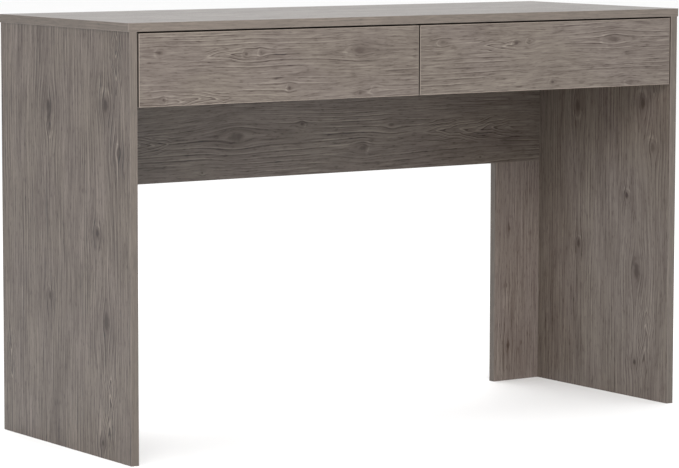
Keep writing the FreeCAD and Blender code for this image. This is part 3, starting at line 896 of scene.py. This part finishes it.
@dataclass(frozen=True)
class Turned:
    """A turned fitting that Geometry Nodes spins from its outline.

    Attributes:
        label: What it is called.
        length: Its whole length, in millimetres.
        pitch: Of its thread, or any length if it has none.
        thread_depth: Of its thread.
        lobe_count: Lobes or flutes round it.
        lobe_edge: How sharp the lobes are.
        sides: Faces round it.
    """

    label: str
    length: float
    pitch: float = 2.0
    thread_depth: float = 0.0
    lobe_count: int = 4
    lobe_edge: float = 1.0
    sides: int = 24

    def outline(self) -> list[Ring]:
        """The rings from the wide end's middle to the far end's middle."""
        raise NotImplementedError

    def threaded(self, start: float, end: float, radius: float, end_radius: float) -> list[Ring]:
        """Rings of a threaded stretch, six to a turn.

        Args:
            start: Where it starts.
            end: Where it ends.
            radius: Crest radius at its start.
            end_radius: Crest radius at its end.

        Returns:
            The rings, the last one short of the end.
        """
        count = max(2, round(6 * (end - start) / self.pitch))
        rings = []
        for step in range(count):
            share = step / count
            cut = min(1.0, 6.0 * share) * min(1.0, end_radius / radius + 1.0 - share)
            rings.append(Ring(radius + share * (end_radius - radius), start + share * (end - start), thread=cut))
        return rings


@dataclass(frozen=True)
class Screw(Turned):
    """Countersunk wood screw with a cross recess.

    Attributes:
        shank: Crest radius of the thread.
        head_radius: Radius of the head.
        head_depth: Depth of the head's cone.
        plain: Length of the neck before the thread.
    """

    shank: float = 2.0
    head_radius: float = 4.0
    head_depth: float = 3.0
    plain: float = 1.0

    def outline(self) -> list[Ring]:
        """Recess, head, neck, thread and tip."""
        recess, deep = 0.58 * self.head_radius, 0.85 * self.head_depth
        neck, neck_end = 0.78 * self.shank, self.head_depth + self.plain
        tip_start = self.length - 2.0 * self.shank
        slope = (self.head_radius - self.shank) / self.head_depth
        return [
            Ring(0.0, deep), Ring(0.35 * recess, 0.75 * deep, 0.35), Ring(0.75 * recess, 0.25 * deep, 0.62),
            Ring(recess, 0.0, 0.62), Ring(self.head_radius - 0.2, 0.0),
            Ring(self.head_radius - 0.03 - 0.12 * slope, 0.12), Ring(self.shank, self.head_depth),
            Ring(neck, self.head_depth + 0.3), Ring(neck, neck_end),
            *self.threaded(neck_end, tip_start, self.shank, self.shank),
            *self.threaded(tip_start, self.length - 0.3, self.shank, 0.5)[1:],
            Ring(0.3, self.length - 0.15), Ring(0.0, self.length),
        ]


@dataclass(frozen=True)
class CamBolt(Turned):
    """Bolt for a cam: recessed head, neck, thick shaft and wood thread."""

    head_radius: float = 3.2
    head: float = 4.0
    neck_radius: float = 2.0
    neck_end: float = 12.0
    shaft_radius: float = 3.6
    shaft_end: float = 36.0
    crest: float = 2.95

    def outline(self) -> list[Ring]:
        """Recess, head, neck, ribbed shaft and thread."""
        head, shaft, shaft_end = self.head_radius, self.shaft_radius, self.shaft_end
        rings = [
            Ring(0.0, 2.0), Ring(0.7, 1.6, 0.3), Ring(1.5, 0.5, 0.6), Ring(1.9, 0.0, 0.6), Ring(head - 0.5, 0.0),
            Ring(head, 0.5), Ring(head, self.head - 0.4), Ring(head - 0.5, self.head),
            Ring(self.neck_radius, self.head + 0.1), Ring(self.neck_radius, self.neck_end - 0.1),
            Ring(shaft - 0.4, self.neck_end), Ring(shaft, self.neck_end + 0.5),
        ]
        for rib in (0.30, 0.36, 0.42, 0.78, 0.84, 0.90):
            place = self.neck_end + rib * (shaft_end - self.neck_end)
            rings += [Ring(shaft - cut, place + way)
                      for cut, way in ((0.0, -0.45), (0.3, -0.25), (0.3, 0.25), (0.0, 0.45))]
        rings += [Ring(shaft, shaft_end - 0.4), Ring(shaft - 0.3, shaft_end)]
        rings += self.threaded(shaft_end + 0.1, self.length - 1.5, self.crest, self.crest)
        return rings + [Ring(1.9, self.length - 1.2), Ring(1.2, self.length), Ring(0.0, self.length)]


@dataclass(frozen=True)
class Dowel(Turned):
    """Fluted wooden dowel with chamfered ends."""

    radius: float = 3.95

    def outline(self) -> list[Ring]:
        """Two chamfered ends and a fluted body."""
        flutes = (Ring(self.radius, place, 0.06) for place in (1.6, self.length / 2, self.length - 1.6))
        return [
            Ring(0.0, 0.0), Ring(self.radius - 1.0, 0.0), Ring(self.radius - 0.05, 1.0), *flutes,
            Ring(self.radius - 0.05, self.length - 1.0), Ring(self.radius - 1.0, self.length),
            Ring(0.0, self.length),
        ]


@dataclass(frozen=True)
class Cap(Turned):
    """Push-in cap with a dished face, a rounded rim and a peg."""

    def outline(self) -> list[Ring]:
        """Dish, rim, underside and peg."""
        return [
            Ring(0.0, 0.28), Ring(6.2, 0.28), Ring(6.7, 0.10), Ring(7.0, 0.0), Ring(7.9, 0.0), Ring(8.35, 0.12),
            Ring(8.67, 0.45), Ring(8.8, 0.9), Ring(8.8, 1.15), Ring(8.72, 1.2), Ring(2.2, 1.2),
            Ring(2.2, 2.8, 0.25), Ring(1.7, 3.2, 0.25), Ring(0.0, 3.2),
        ]


@dataclass(frozen=True)
class Pin(Turned):
    """Rivet that a roller turns on: domed head, shaft, collar and the end in the runner's web.

    Attributes:
        collar: Length of its collar.
    """

    collar: float = 2.6

    def outline(self) -> list[Ring]:
        """Head, shaft, collar and riveted end."""
        end = self.length - 1.2
        start = end - self.collar
        return [
            Ring(0.0, 0.0), Ring(1.6, 0.03), Ring(2.9, 0.14), Ring(3.7, 0.34), Ring(4.0, 0.55), Ring(4.0, 0.75),
            Ring(3.95, 0.8), Ring(2.5, 0.8), Ring(2.5, start), Ring(3.8, start), Ring(4.0, start + 0.2),
            Ring(4.0, end - 0.1), Ring(3.9, end), Ring(2.5, end), Ring(2.5, self.length - 0.15),
            Ring(2.35, self.length), Ring(1.3, self.length), Ring(0.9, self.length - 0.3),
            Ring(0.0, self.length - 0.3),
        ]


DIVIDER_SCREW = Screw("divider_screw", 50.0, 3.2, 1.0, shank=3.0, head_radius=5.0, head_depth=4.0, plain=14.0)
CHANNEL_SCREW, RAIL_SCREW = (
    Screw(label, length, 1.6, 0.55, shank=1.75, head_radius=3.5, head_depth=1.8, plain=0.6)
    for label, length in (("channel_screw", 12.0), ("rail_screw", 11.0))
)
BOX_SCREW = Screw("box_screw", 40.0, 2.2, 0.65, shank=2.0, head_radius=4.0, head_depth=3.0, plain=8.0)
BOTTOM_SCREW = Screw("bottom_screw", 18.0, 1.5, 0.45, shank=1.5, head_radius=3.0, head_depth=1.6, plain=1.0)
CAM_BOLT = CamBolt("cam_bolt", 47.0, 2.4, 0.9)
DOWEL = Dowel("dowel", 30.0, lobe_count=20, lobe_edge=0.5, sides=80)
CAP = Cap("cap", 3.2, sides=40)
FRONT_PIN = Pin("front_pin", 10.5, sides=28)
REAR_PIN = Pin("rear_pin", 10.9, sides=28, collar=3.0)


class FittingTree:
    """The Geometry Nodes tree that spins an outline and sets it at every place."""

    def __init__(self) -> None:
        """Builds the tree."""
        self.tree = bpy.data.node_groups.new("turned_fittings", "GeometryNodeTree")
        face = self.tree.interface
        kinds = {"Places": "Geometry", "Outline": "Object", "Sides": "Int", "Pitch": "Float",
                 "Thread Depth": "Float", "Lobes": "Int", "Lobe Edge": "Float", "Seed": "Int",
                 "Material": "Material"}
        self.inputs = {
            name: face.new_socket(name=name, in_out="INPUT", socket_type="NodeSocket" + kind).identifier
            for name, kind in kinds.items()
        }
        face.new_socket(name="Fittings", in_out="OUTPUT", socket_type="NodeSocketGeometry")
        self.wiring = Wiring(self.tree)
        given = self.wiring.node("NodeGroupInput").outputs
        self.given = {name: Signal(self.wiring, given[name]) for name in kinds}
        self.spread(self.spun())

    def attribute(self, name: str) -> Signal:
        """A vector attribute."""
        return self.wiring.put("GeometryNodeInputNamedAttribute", {"Name": name}, data_type="FLOAT_VECTOR")

    def spun(self) -> Signal:
        """Wraps a grid round the outline: its columns go round and its rows follow the rings.

        Returns:
            The fitting's geometry.
        """
        w, given = self.wiring, self.given
        outline = w.put("GeometryNodeObjectInfo", {"Object": given["Outline"]}, "Geometry")
        rings = w.put("GeometryNodeAttributeDomainSize", {0: outline}, "Point Count")
        grid = w.put("GeometryNodeMeshGrid", {"Size X": 1.0, "Size Y": 1.0, "Vertices X": given["Sides"] + 1.0,
                                              "Vertices Y": rings}, "Mesh")
        position = w.put("GeometryNodeInputPosition", {})
        column, row, _ = w.parts(position)
        share = column + 0.5
        index = w.put("FunctionNodeFloatToInt", {0: (row + 0.5) * (rings - 1.0)}, rounding_mode="ROUND")
        (radius, _, height), (lobes, thread, _) = (
            w.parts(w.put("GeometryNodeSampleIndex", {"Geometry": outline, "Value": value, "Index": index},
                          data_type="FLOAT_VECTOR", domain="POINT"))
            for value in (position, self.attribute("marks"))
        )
        angle = share * TURN
        wave = abs(w.math("COSINE", angle * (given["Lobes"] * 0.5)))
        radius = radius * (1.0 - lobes * (1.0 - w.math("POWER", wave, given["Lobe Edge"])))
        turn = w.math("FRACT", height / given["Pitch"] - share)
        groove = 1.0 - abs(turn * 2.0 - 1.0)
        radius = w.larger(radius - thread * given["Thread Depth"] * groove, 0.0)
        wrapped = w.join(radius * w.math("COSINE", angle), radius * w.math("SINE", angle), height)
        moved = w.put("GeometryNodeSetPosition", {"Geometry": grid, "Position": wrapped})
        return w.put("GeometryNodeMergeByDistance", {"Geometry": moved, "Distance": 0.001 * MM})

    def spread(self, shape: Signal) -> None:
        """Sets the shape at every place, along its aim and turned at random, and makes one mesh of them.

        Args:
            shape: The fitting's geometry.
        """
        w, given = self.wiring, self.given
        aligned = w.put("FunctionNodeAlignRotationToVector", {"Vector": self.attribute("aim")}, axis="Z")
        put = w.put("GeometryNodeInstanceOnPoints", {"Points": given["Places"], "Instance": shape,
                                                     "Rotation": aligned})
        chance = w.put("FunctionNodeRandomValue", {3: math.pi, "Seed": given["Seed"]}, 1, data_type="FLOAT")
        turned = w.put("GeometryNodeRotateInstances", {"Instances": put, "Rotation": w.join(0.0, 0.0, chance)})
        real = w.put("GeometryNodeRealizeInstances", {0: turned})
        painted = w.put("GeometryNodeSetMaterial", {"Geometry": real, "Material": given["Material"]})
        w.feed(w.node("NodeGroupOutput").inputs[0], painted)


@dataclass(frozen=True)
class Place:
    """Where a fitting sits: the middle of its wide end, the way it points and its length."""

    start: Vector
    aim: Vector
    length: float


def place_of(points: list[Vector], flat: bool) -> Place:
    """Finds where one solid sits.

    Args:
        points: Its vertices.
        flat: Whether it is wider than long.

    Returns:
        Its place.
    """
    low, high = (Vector([pick(point[axis] for point in points) for axis in range(3)]) for pick in (min, max))
    size, middle = high - low, (low + high) / 2
    axis = (min if flat else max)(range(3), key=lambda each: size[each])
    ends = []
    for end, sign in ((low, -1.0), (high, 1.0)):
        outward = Vector([sign if each == axis else 0.0 for each in range(3)])
        seat = middle + outward * size[axis] / 2
        rim = max((point - seat).length for point in points if abs(point[axis] - end[axis]) < 0.01 * MM)
        ends.append((rim, seat, -outward))
    _, seat, aim = max(ends, key=lambda each: round(each[0], 5))
    return Place(seat, aim, size[axis])


def places_of(node: str, flat: bool = False) -> list[Place]:
    """Finds where each solid of a CAD node sits.

    Args:
        node: The node's name.
        flat: Whether its solids are wider than long.

    Returns:
        One place for each solid, in a fixed order.
    """
    shape = bmesh.new()
    shape.from_mesh(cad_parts[node].data)
    bmesh.ops.remove_doubles(shape, verts=shape.verts, dist=0.001 * MM)
    waiting = set(shape.verts)
    places = []
    while waiting:
        front = [waiting.pop()]
        solid = list(front)
        while front:
            here = front.pop()
            near = {edge.other_vert(here) for edge in here.link_edges} & waiting
            waiting -= near
            front += near
            solid += near
        places.append(place_of([vertex.co for vertex in solid], flat))
    shape.free()
    return sorted(places, key=lambda each: tuple(round(part, 5) for part in each.start))


def show(name: str, data: bpy.types.ID | None) -> bpy.types.Object:
    """Adds an object to the scene."""
    made = bpy.data.objects.new(name, data)
    bpy.context.scene.collection.objects.link(made)
    return made


class FittingShop:
    """Turns the desk's screws, bolts, dowels, caps and pins, and puts them where the frame holds them."""

    def __init__(self, kit: EffectKit) -> None:
        """Takes the shared effects and builds the shared tree."""
        self.kit = kit
        self.tree = FittingTree()

    def spin(self, kind: Turned, places: list[Place], material: bpy.types.Material,
             seed: int) -> bpy.types.Mesh:
        """Runs the tree for one kind of fitting.

        Args:
            kind: The fitting.
            places: Where its copies sit.
            material: Their finish.
            seed: Seed of their turns.

        Returns:
            One plain mesh with every copy.
        """
        rings = kind.outline()
        profile, points = (bpy.data.meshes.new(kind.label + end) for end in ("_outline", ""))
        profile.from_pydata([(ring.radius * MM, 0.0, ring.height * MM) for ring in rings], [], [])
        points.from_pydata([place.start for place in places], [], [])
        for mesh, name, vectors in (
            (profile, "marks", [(ring.lobes, ring.thread, 0.0) for ring in rings]),
            (points, "aim", [place.aim for place in places]),
        ):
            for row, vector in zip(mesh.attributes.new(name, "FLOAT_VECTOR", "POINT").data, vectors):
                row.vector = vector
        template, holder = show(profile.name, profile), show(points.name, points)
        spinner = holder.modifiers.new("turned_fittings", "NODES")
        spinner.node_group = self.tree.tree
        values = {"Outline": template, "Sides": kind.sides, "Pitch": kind.pitch * MM,
                  "Thread Depth": kind.thread_depth * MM, "Lobes": kind.lobe_count, "Lobe Edge": kind.lobe_edge,
                  "Seed": seed, "Material": material}
        for name, value in values.items():
            spinner[self.tree.inputs[name]] = value
        graph = bpy.context.evaluated_depsgraph_get()
        made = bpy.data.meshes.new_from_object(holder.evaluated_get(graph))
        holder.modifiers.remove(spinner)
        for spent in (template, holder):
            bpy.data.objects.remove(spent)
        return made

    def fit(self, node: str, body: str, slot: str, finish: Finish, *kinds: Turned, flat: bool = False) -> None:
        """Replaces a CAD node of fittings by turned ones.

        Args:
            node: The node.
            body: The body they ride on.
            slot: The record's material slot; it is not used.
            finish: Their finish.
            kinds: The kinds among them, told apart by length.
            flat: Whether they are wider than long.
        """
        material = finish.material(self.kit, node)
        places = places_of(node, flat)
        shape = bmesh.new()
        placed = 0
        for seed, kind in enumerate(kinds):
            mine = [place for place in places if abs(place.length - kind.length * MM) < 0.2 * MM]
            shape.from_mesh(self.spin(kind, mine, material, seed))
            placed += len(mine)
        if placed != len(places):
            raise ValueError(f"{node}: {placed} of {len(places)} fittings have a kind")
        mesh = bpy.data.meshes.new(node + "_turned")
        shape.to_mesh(mesh)
        shape.free()
        mesh.materials.clear()
        mesh.materials.append(material)
        for polygon in mesh.polygons:
            polygon.use_smooth = True
            polygon.material_index = 0
        mesh.set_sharp_from_angle(angle=math.radians(32.0))
        piece = show(node + "_turned", mesh)
        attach(piece, body)
        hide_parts(node)
        LOG.info("%s: %d fittings, %d faces", piece.name, placed, len(mesh.polygons))


# ---- studio --------------------------------------------------------------------------------------------
@dataclass(frozen=True)
class Softbox:
    """A large rectangular lamp aimed at a point.

    Attributes:
        name: The lamp's name.
        place: Where it hangs, in metres.
        aim: What it points at.
        size: Width and height, in metres.
        power: In watts.
    """

    name: str
    place: tuple[float, float, float]
    aim: tuple[float, float, float]
    size: tuple[float, float]
    power: float

    def hang(self) -> None:
        """Adds the lamp to the scene."""
        lamp = bpy.data.lights.new(self.name, "AREA")
        lamp.shape = "RECTANGLE"
        lamp.size, lamp.size_y = self.size
        lamp.energy = self.power
        held = show(self.name, lamp)
        held.location = self.place
        held.rotation_euler = (Vector(self.aim) - Vector(self.place)).to_track_quat("-Z", "Y").to_euler()


@dataclass(frozen=True)
class Studio:
    """Pale floor, soft light and the camera.

    Attributes:
        floor_size: Side of the floor, in metres.
        floor_colour: Its colour.
        ambient: Strength of the light from all round.
        heading: Degrees from +Y that the camera looks towards +X.
        dip: Degrees that it looks down.
        roll: Degrees that it is turned about its own axis.
        camera_place: Where it stands.
        lens: Its focal length, in millimetres.
        shift: How far the lens is lowered, as a share of the picture's width.
        lamps: The lamps.
    """

    floor_size: float = 80.0
    floor_colour: Colour = (0.92, 0.92, 0.92)
    ambient: float = 1.06
    heading: float = 34.427
    dip: float = 5.6587
    roll: float = 0.0892
    camera_place: tuple[float, float, float] = (-3.3052, -4.7963, 0.9792)
    lens: float = 168.369
    shift: float = -0.05
    lamps: tuple[Softbox, ...] = (
        Softbox("front_softbox", (-1.7, -4.0, 2.9), (0.1, 0.0, 0.30), (2.2, 1.8), 215.0),
        Softbox("low_softbox", (-3.4, -3.6, 0.9), (0.5, 0.1, 0.30), (1.4, 1.2), 60.0),
        Softbox("overhead_softbox", (0.6, 1.4, 4.2), (0.0, 0.0, 0.4), (2.4, 2.4), 60.0),
    )

    def floor(self) -> None:
        """Lays the floor, with a faint mottle."""
        half = self.floor_size / 2
        mesh = bpy.data.meshes.new("studio_floor")
        corners = [(-half, -half, 0), (half, -half, 0), (half, half, 0), (-half, half, 0)]
        mesh.from_pydata(corners, [], [(0, 1, 2, 3)])
        made = bpy.data.materials.new("studio_floor")
        made.use_nodes = True
        w = Wiring(made.node_tree)
        shader = made.node_tree.nodes["Principled BSDF"]
        mottle = w.noise(w.put("ShaderNodeTexCoord", {}, "Object"), 3.0, 4.0)
        w.feed(shader.inputs["Base Color"],
               w.blend(mottle, scaled(self.floor_colour, 0.97), scaled(self.floor_colour)))
        shader.inputs["Roughness"].default_value = 0.7
        mesh.materials.append(made)
        laid = show("studio_floor", mesh)

    def light(self) -> None:
        """Sets the even surrounding light and hangs the lamps."""
        world = bpy.data.worlds.new("studio")
        world.use_nodes = True
        backdrop = world.node_tree.nodes["Background"]
        backdrop.inputs["Color"].default_value = (1.0, 1.0, 1.0, 1.0)
        backdrop.inputs["Strength"].default_value = self.ambient
        bpy.context.scene.world = world
        for lamp in self.lamps:
            lamp.hang()

    def camera(self) -> None:
        """Stands the camera where the desk is seen from its front left."""
        heading, dip, roll = (math.radians(turn) for turn in (self.heading, self.dip, self.roll))
        ahead = Vector((math.sin(heading) * math.cos(dip), math.cos(heading) * math.cos(dip), -math.sin(dip)))
        level = Vector((math.cos(heading), -math.sin(heading), 0.0))
        rise = level.cross(ahead)
        right = level * math.cos(roll) + rise * math.sin(roll)
        above = rise * math.cos(roll) - level * math.sin(roll)
        data = bpy.data.cameras.new("camera")
        data.lens = self.lens
        data.sensor_width = 36.0
        data.shift_y = self.shift
        data.clip_end = 200.0
        held = show("camera", data)
        turned = Matrix((right, above, -ahead)).transposed().to_4x4()
        held.matrix_world = Matrix.Translation(self.camera_place) @ turned
        bpy.context.scene.camera = held

    def build(self) -> None:
        """Sets up the whole studio."""
        self.floor()
        self.light()
        self.camera()
        bpy.context.scene.view_settings.view_transform = "Standard"


# ---- sub-assemblies ------------------------------------------------------------------------------------------
UPRIGHT_EDGES = {"way": Way.ALONG_Z_BACK, "turned": Way.ALONG_Z_SIDE}
# The stiles' and fronts' brightness, and the stiles' warm and cool tones, are painted light and shade: one
# laminate is lightened, darkened or tinted piece by piece to stand for how each piece is lit.
STILE_PRINT = {"way": Way.ALONG_Z_BACK, "painted_light_and_shade": 1.32, "fine": 1.4, "broad": 1.2, "dashes": 9.0,
               "warm": (0.0835, 0.0672, 0.0570), "cool": (0.0835, 0.0668, 0.0580)}
FRONT_PRINT = {"way": Way.ALONG_X_UPRIGHT, "painted_light_and_shade": 0.97, "fine": 1.5, "broad": 1.8}


def dress(node: str, finish: Finish, kit: EffectKit) -> None:
    """Gives a CAD node a better material.

    Args:
        node: The node's name.
        finish: The finish for all of its slots.
        kit: The shared effects.
    """
    material = finish.material(kit, node)
    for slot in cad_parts[node].material_slots:
        slot.material = material
    LOG.info("%s: %s", node, finish.name)


@dataclass(frozen=True)
class DeskFrame:
    """Top, sides, back rail, stiles and divider, with their edging and fittings."""

    kit: EffectKit
    shop: FittingShop
    top: Laminate = Laminate("decor_top", Way.ALONG_X_FLAT, 0.0, 1.0, 1.9, 1.9, 15.0, gloss=0.35)
    # The number after each side's and the rail's seed (0.89 on the left side, 1.08 on the right side, 0.93 on
    # the rail) is painted light and shade, and the left side's warm and cool tones are tinted for its light;
    # these boards share one laminate.
    left_side: Laminate = Laminate(
        "decor_left_side", Way.ALONG_Z_SIDE, 21.0, 0.89, 2.0, 2.7, 9.0,
        warm=(0.0835, 0.0645, 0.0510), cool=(0.0835, 0.0640, 0.0525),
        knots=(
            Knot(0.812, 0.621, 0.0181, 1.15, 1.5, -1.0),
            Knot(0.760, 0.614, 0.0106, 0.69, 1.5, -1.0),
            Knot(0.828, 0.180, 0.0200, 1.15, 1.3, 1.0),
            Knot(0.720, 0.085, 0.0125, 0.57, 1.3, 1.0),
            Knot(0.527, 0.245, 0.0137, 1.30, 1.1, 1.0),
            Knot(0.358, 0.615, 0.0119, 1.03, 1.5, 1.0),
            Knot(0.323, 0.181, 0.0213, 1.03, 1.9),
            Knot(0.036, 0.209, 0.0100, 1.15, 1.1),
        ),
        arches=(
            Arch(0.930, 0.096, 0.075, 0.024, 0.16),
            Arch(0.120, 0.154, 0.080, 0.030, -0.16),
            Arch(0.190, 0.930, 0.060, 0.022, 0.14),
        ),
    )
    right_side: Laminate = Laminate(
        "decor_right_side", Way.ALONG_Z_SIDE, 21.4, 1.08, 1.5, 1.6, 9.0,
        knots=(
            Knot(0.752, 0.618, 0.0140, 0.70, 1.8, -1.0),
            Knot(0.773, 0.177, 0.0165, 0.75, 1.5, 1.0),
            Knot(0.660, 0.110, 0.0150, 0.60, 1.4, 1.0),
            Knot(0.528, 0.277, 0.0120, 1.20, 1.1, 1.0),
            Knot(0.383, 0.603, 0.0112, 1.03, 1.5, 1.0),
            Knot(0.332, 0.206, 0.0200, 0.95, 1.8),
            Knot(0.092, 0.213, 0.0100, 1.15, 1.2),
        ),
        arches=(Arch(0.880, 0.100, 0.090, 0.024, 0.16), Arch(0.160, 0.142, 0.075, 0.030, -0.16)),
    )
    rail: Laminate = Laminate(
        "decor_back_rail", Way.ALONG_X_UPRIGHT, 63.0, 0.93, 1.7, 1.9, 15.0,
        knots=(
            Knot(0.513, 0.318, 0.0070, 0.95, 1.2, 1.0),
            Knot(0.386, 0.257, 0.0190, 0.70, 2.2),
            Knot(0.632, 0.145, 0.0110, 0.65, 1.5, 1.0),
            Knot(0.322, 0.045, 0.0055, 0.85, 1.0),
            Knot(0.874, 0.043, 0.0060, 0.70, 1.2),
            Knot(0.690, 0.285, 0.0080, 0.70, 1.8),
        ),
        arches=(Arch(0.850, 0.230, 0.130, 0.028, 0.14), Arch(0.215, 0.225, 0.070, 0.022, -0.16)),
    )
    left_stile: Laminate = Laminate(
        "decor_left_stile", seed=84.0, **STILE_PRINT,
        knots=(Knot(0.640, 0.600, 0.0060, 0.7, 1.5), Knot(0.300, 0.450, 0.0060, 0.6, 1.7)),
    )
    right_stile: Laminate = Laminate(
        "decor_right_stile", seed=105.0, **STILE_PRINT,
        knots=(
            Knot(0.699, 0.327, 0.0060, 0.65, 1.6),
            Knot(0.438, 0.267, 0.0060, 0.55, 1.8),
            Knot(0.161, 0.299, 0.0060, 0.60, 1.6),
        ),
    )
    divider: Laminate = Laminate("decor_divider", Way.ALONG_Y_SIDE, 126.0)

    def boards(self) -> None:
        """Dresses the boards."""
        for node, finish in (
            ("top_panel", self.top), ("left_side_panel", self.left_side), ("right_side_panel", self.right_side),
            ("back_rail", self.rail), ("left_back_stile", self.left_stile),
            ("right_back_stile", self.right_stile), ("centre_divider", self.divider),
        ):
            dress(node, finish, self.kit)

    def edging(self) -> None:
        """Dresses the edging strips, each with its print along it."""
        for node, finish in (
            ("top_panel_edging", EdgeStrip("top_edging")),
            ("back_rail_edging", EdgeStrip("rail_edging", Way.ALONG_X_FLAT)),
            ("centre_divider_edging", EdgeStrip("divider_edging", **UPRIGHT_EDGES)),
            # The 0.8 and 0.82 brightness of these strips is painted shade on the same edging as the others.
            ("back_stile_edging", EdgeStrip("stile_edging", painted_light_and_shade=0.8, **UPRIGHT_EDGES)),
            ("left_side_edging", EdgeStrip("left_side_edging", painted_light_and_shade=0.82, **UPRIGHT_EDGES)),
            ("right_side_edging", EdgeStrip("right_side_edging", painted_light_and_shade=0.82, **UPRIGHT_EDGES)),
        ):
            dress(node, finish, self.kit)

    def fittings(self) -> None:
        """Dresses the cams, and turns the bolts, dowels, caps and screws."""
        dress("frame_cam_locks", DIE_CAST, self.kit)
        self.shop.fit("frame_cam_bolts", "desk", "bolt_steel", PLATED_BOLT, CAM_BOLT)
        self.shop.fit("frame_dowels", "desk", "beech", BEECH, DOWEL)
        self.shop.fit("frame_cam_caps", "desk", "cap_plastic", CAP_PLASTIC, CAP, flat=True)
        self.shop.fit("divider_screws", "desk", "screw_steel", PLATED_SCREW, DIVIDER_SCREW)

    def build(self) -> None:
        """Dresses the whole frame."""
        self.boards()
        self.edging()
        self.fittings()


@dataclass(frozen=True)
class BayRunners:
    """The desk's halves of the runners: channels, rollers, pins and screws."""

    kit: EffectKit
    shop: FittingShop

    def build(self) -> None:
        """Dresses the channels and rollers of both bays, and turns their pins and screws."""
        for bay in ("left", "right"):
            for hand in ("left", "right"):
                dress(f"{bay}_bay_{hand}_channel", RUNNER_COAT, self.kit)
                dress(f"{bay}_bay_{hand}_front_roller", NYLON, self.kit)
        self.shop.fit("channel_screws", "desk", "screw_steel", PLATED_SCREW, CHANNEL_SCREW)
        self.shop.fit("frame_roller_pins", "desk", "pin_steel", PLATED_PIN, FRONT_PIN)


@dataclass(frozen=True)
class Drawer:
    """One drawer: its front, box, bottom, rails, rollers and fittings.

    Attributes:
        hand: left or right.
        front: The print on its front.
    """

    kit: EffectKit
    shop: FittingShop
    hand: str
    front: Laminate

    def build(self) -> None:
        """Dresses every node of the drawer."""
        name = f"{self.hand}_drawer"
        # 1.8 lightens the fronts' edging into painted highlights along their rims, and 0.28 darkens the strips'
        # ends as painted shade in the gaps between the fronts.
        edging = EdgeStrip(f"{self.hand}_front_edging", Way.ALONG_X_FLAT, Way.ALONG_Z_SIDE, 1.8, 0.28)
        box_side = PlainLaminate("box_side")
        for piece, finish in (
            ("front", self.front), ("front_edging", edging), ("back", PlainLaminate("box_back", through="Y")),
            ("bottom", Hardboard("drawer_bottom")), ("box_edging", BOX_STRIP), ("cam_locks", DIE_CAST),
            ("left_side", box_side), ("left_rail", RUNNER_COAT), ("left_rear_roller", NYLON),
            ("right_side", box_side), ("right_rail", RUNNER_COAT), ("right_rear_roller", NYLON),
        ):
            dress(f"{name}_{piece}", finish, self.kit)
        self.shop.fit(f"{name}_cam_bolts", name, "bolt_steel", PLATED_BOLT, CAM_BOLT)
        self.shop.fit(f"{name}_roller_pins", name, "pin_steel", PLATED_PIN, REAR_PIN)
        self.shop.fit(f"{name}_screws", name, "screw_steel", PLATED_SCREW, RAIL_SCREW, BOX_SCREW, BOTTOM_SCREW)


LEFT_FRONT = Laminate(
    "decor_left_front", seed=147.0, **FRONT_PRINT,
    knots=(
        Knot(0.369, 0.679, 0.0065, 0.80, 1.5, -1.0),
        Knot(0.422, 0.693, 0.0060, 0.60, 1.2, -1.0),
        Knot(0.782, 0.681, 0.0120, 0.60, 2.4, -1.0),
        Knot(0.071, 0.733, 0.0070, 0.45, 1.8, -1.0),
        Knot(0.523, 0.176, 0.0060, 0.95, 1.2, -1.0),
        Knot(0.081, 0.082, 0.0055, 0.90, 1.1, 1.0),
        Knot(0.782, 0.061, 0.0060, 0.70, 1.4),
        Knot(0.840, 0.090, 0.0080, 0.20, 1.6, -1.0),
    ),
    arches=(Arch(0.220, 0.060, 0.070, 0.016, -0.14), Arch(0.300, 0.660, 0.050, 0.014, 0.12)),
)
RIGHT_FRONT = Laminate(
    "decor_right_front", seed=147.3, **FRONT_PRINT,
    knots=(
        Knot(0.372, 0.707, 0.0065, 0.80, 1.5, -1.0),
        Knot(0.424, 0.730, 0.0060, 0.60, 1.2, -1.0),
        Knot(0.766, 0.719, 0.0120, 0.60, 2.4, -1.0),
        Knot(0.085, 0.750, 0.0070, 0.45, 1.8, -1.0),
        Knot(0.518, 0.103, 0.0060, 0.95, 1.2, -1.0),
        Knot(0.840, 0.060, 0.0080, 0.30, 1.6, -1.0),
    ),
    arches=(Arch(0.300, 0.680, 0.050, 0.014, 0.12),),
)


def main() -> None:
    """Dresses the desk, piece by piece, and sets up the studio."""
    logging.basicConfig(level=logging.INFO, format="%(name)s: %(message)s")
    Studio().build()
    kit = EffectKit()
    shop = FittingShop(kit)
    for part in (
        DeskFrame(kit, shop),
        BayRunners(kit, shop),
        Drawer(kit, shop, "left", LEFT_FRONT),
        Drawer(kit, shop, "right", RIGHT_FRONT),
    ):
        LOG.info("%s", type(part).__name__)
        part.build()


if __name__ == "__main__":
    main()
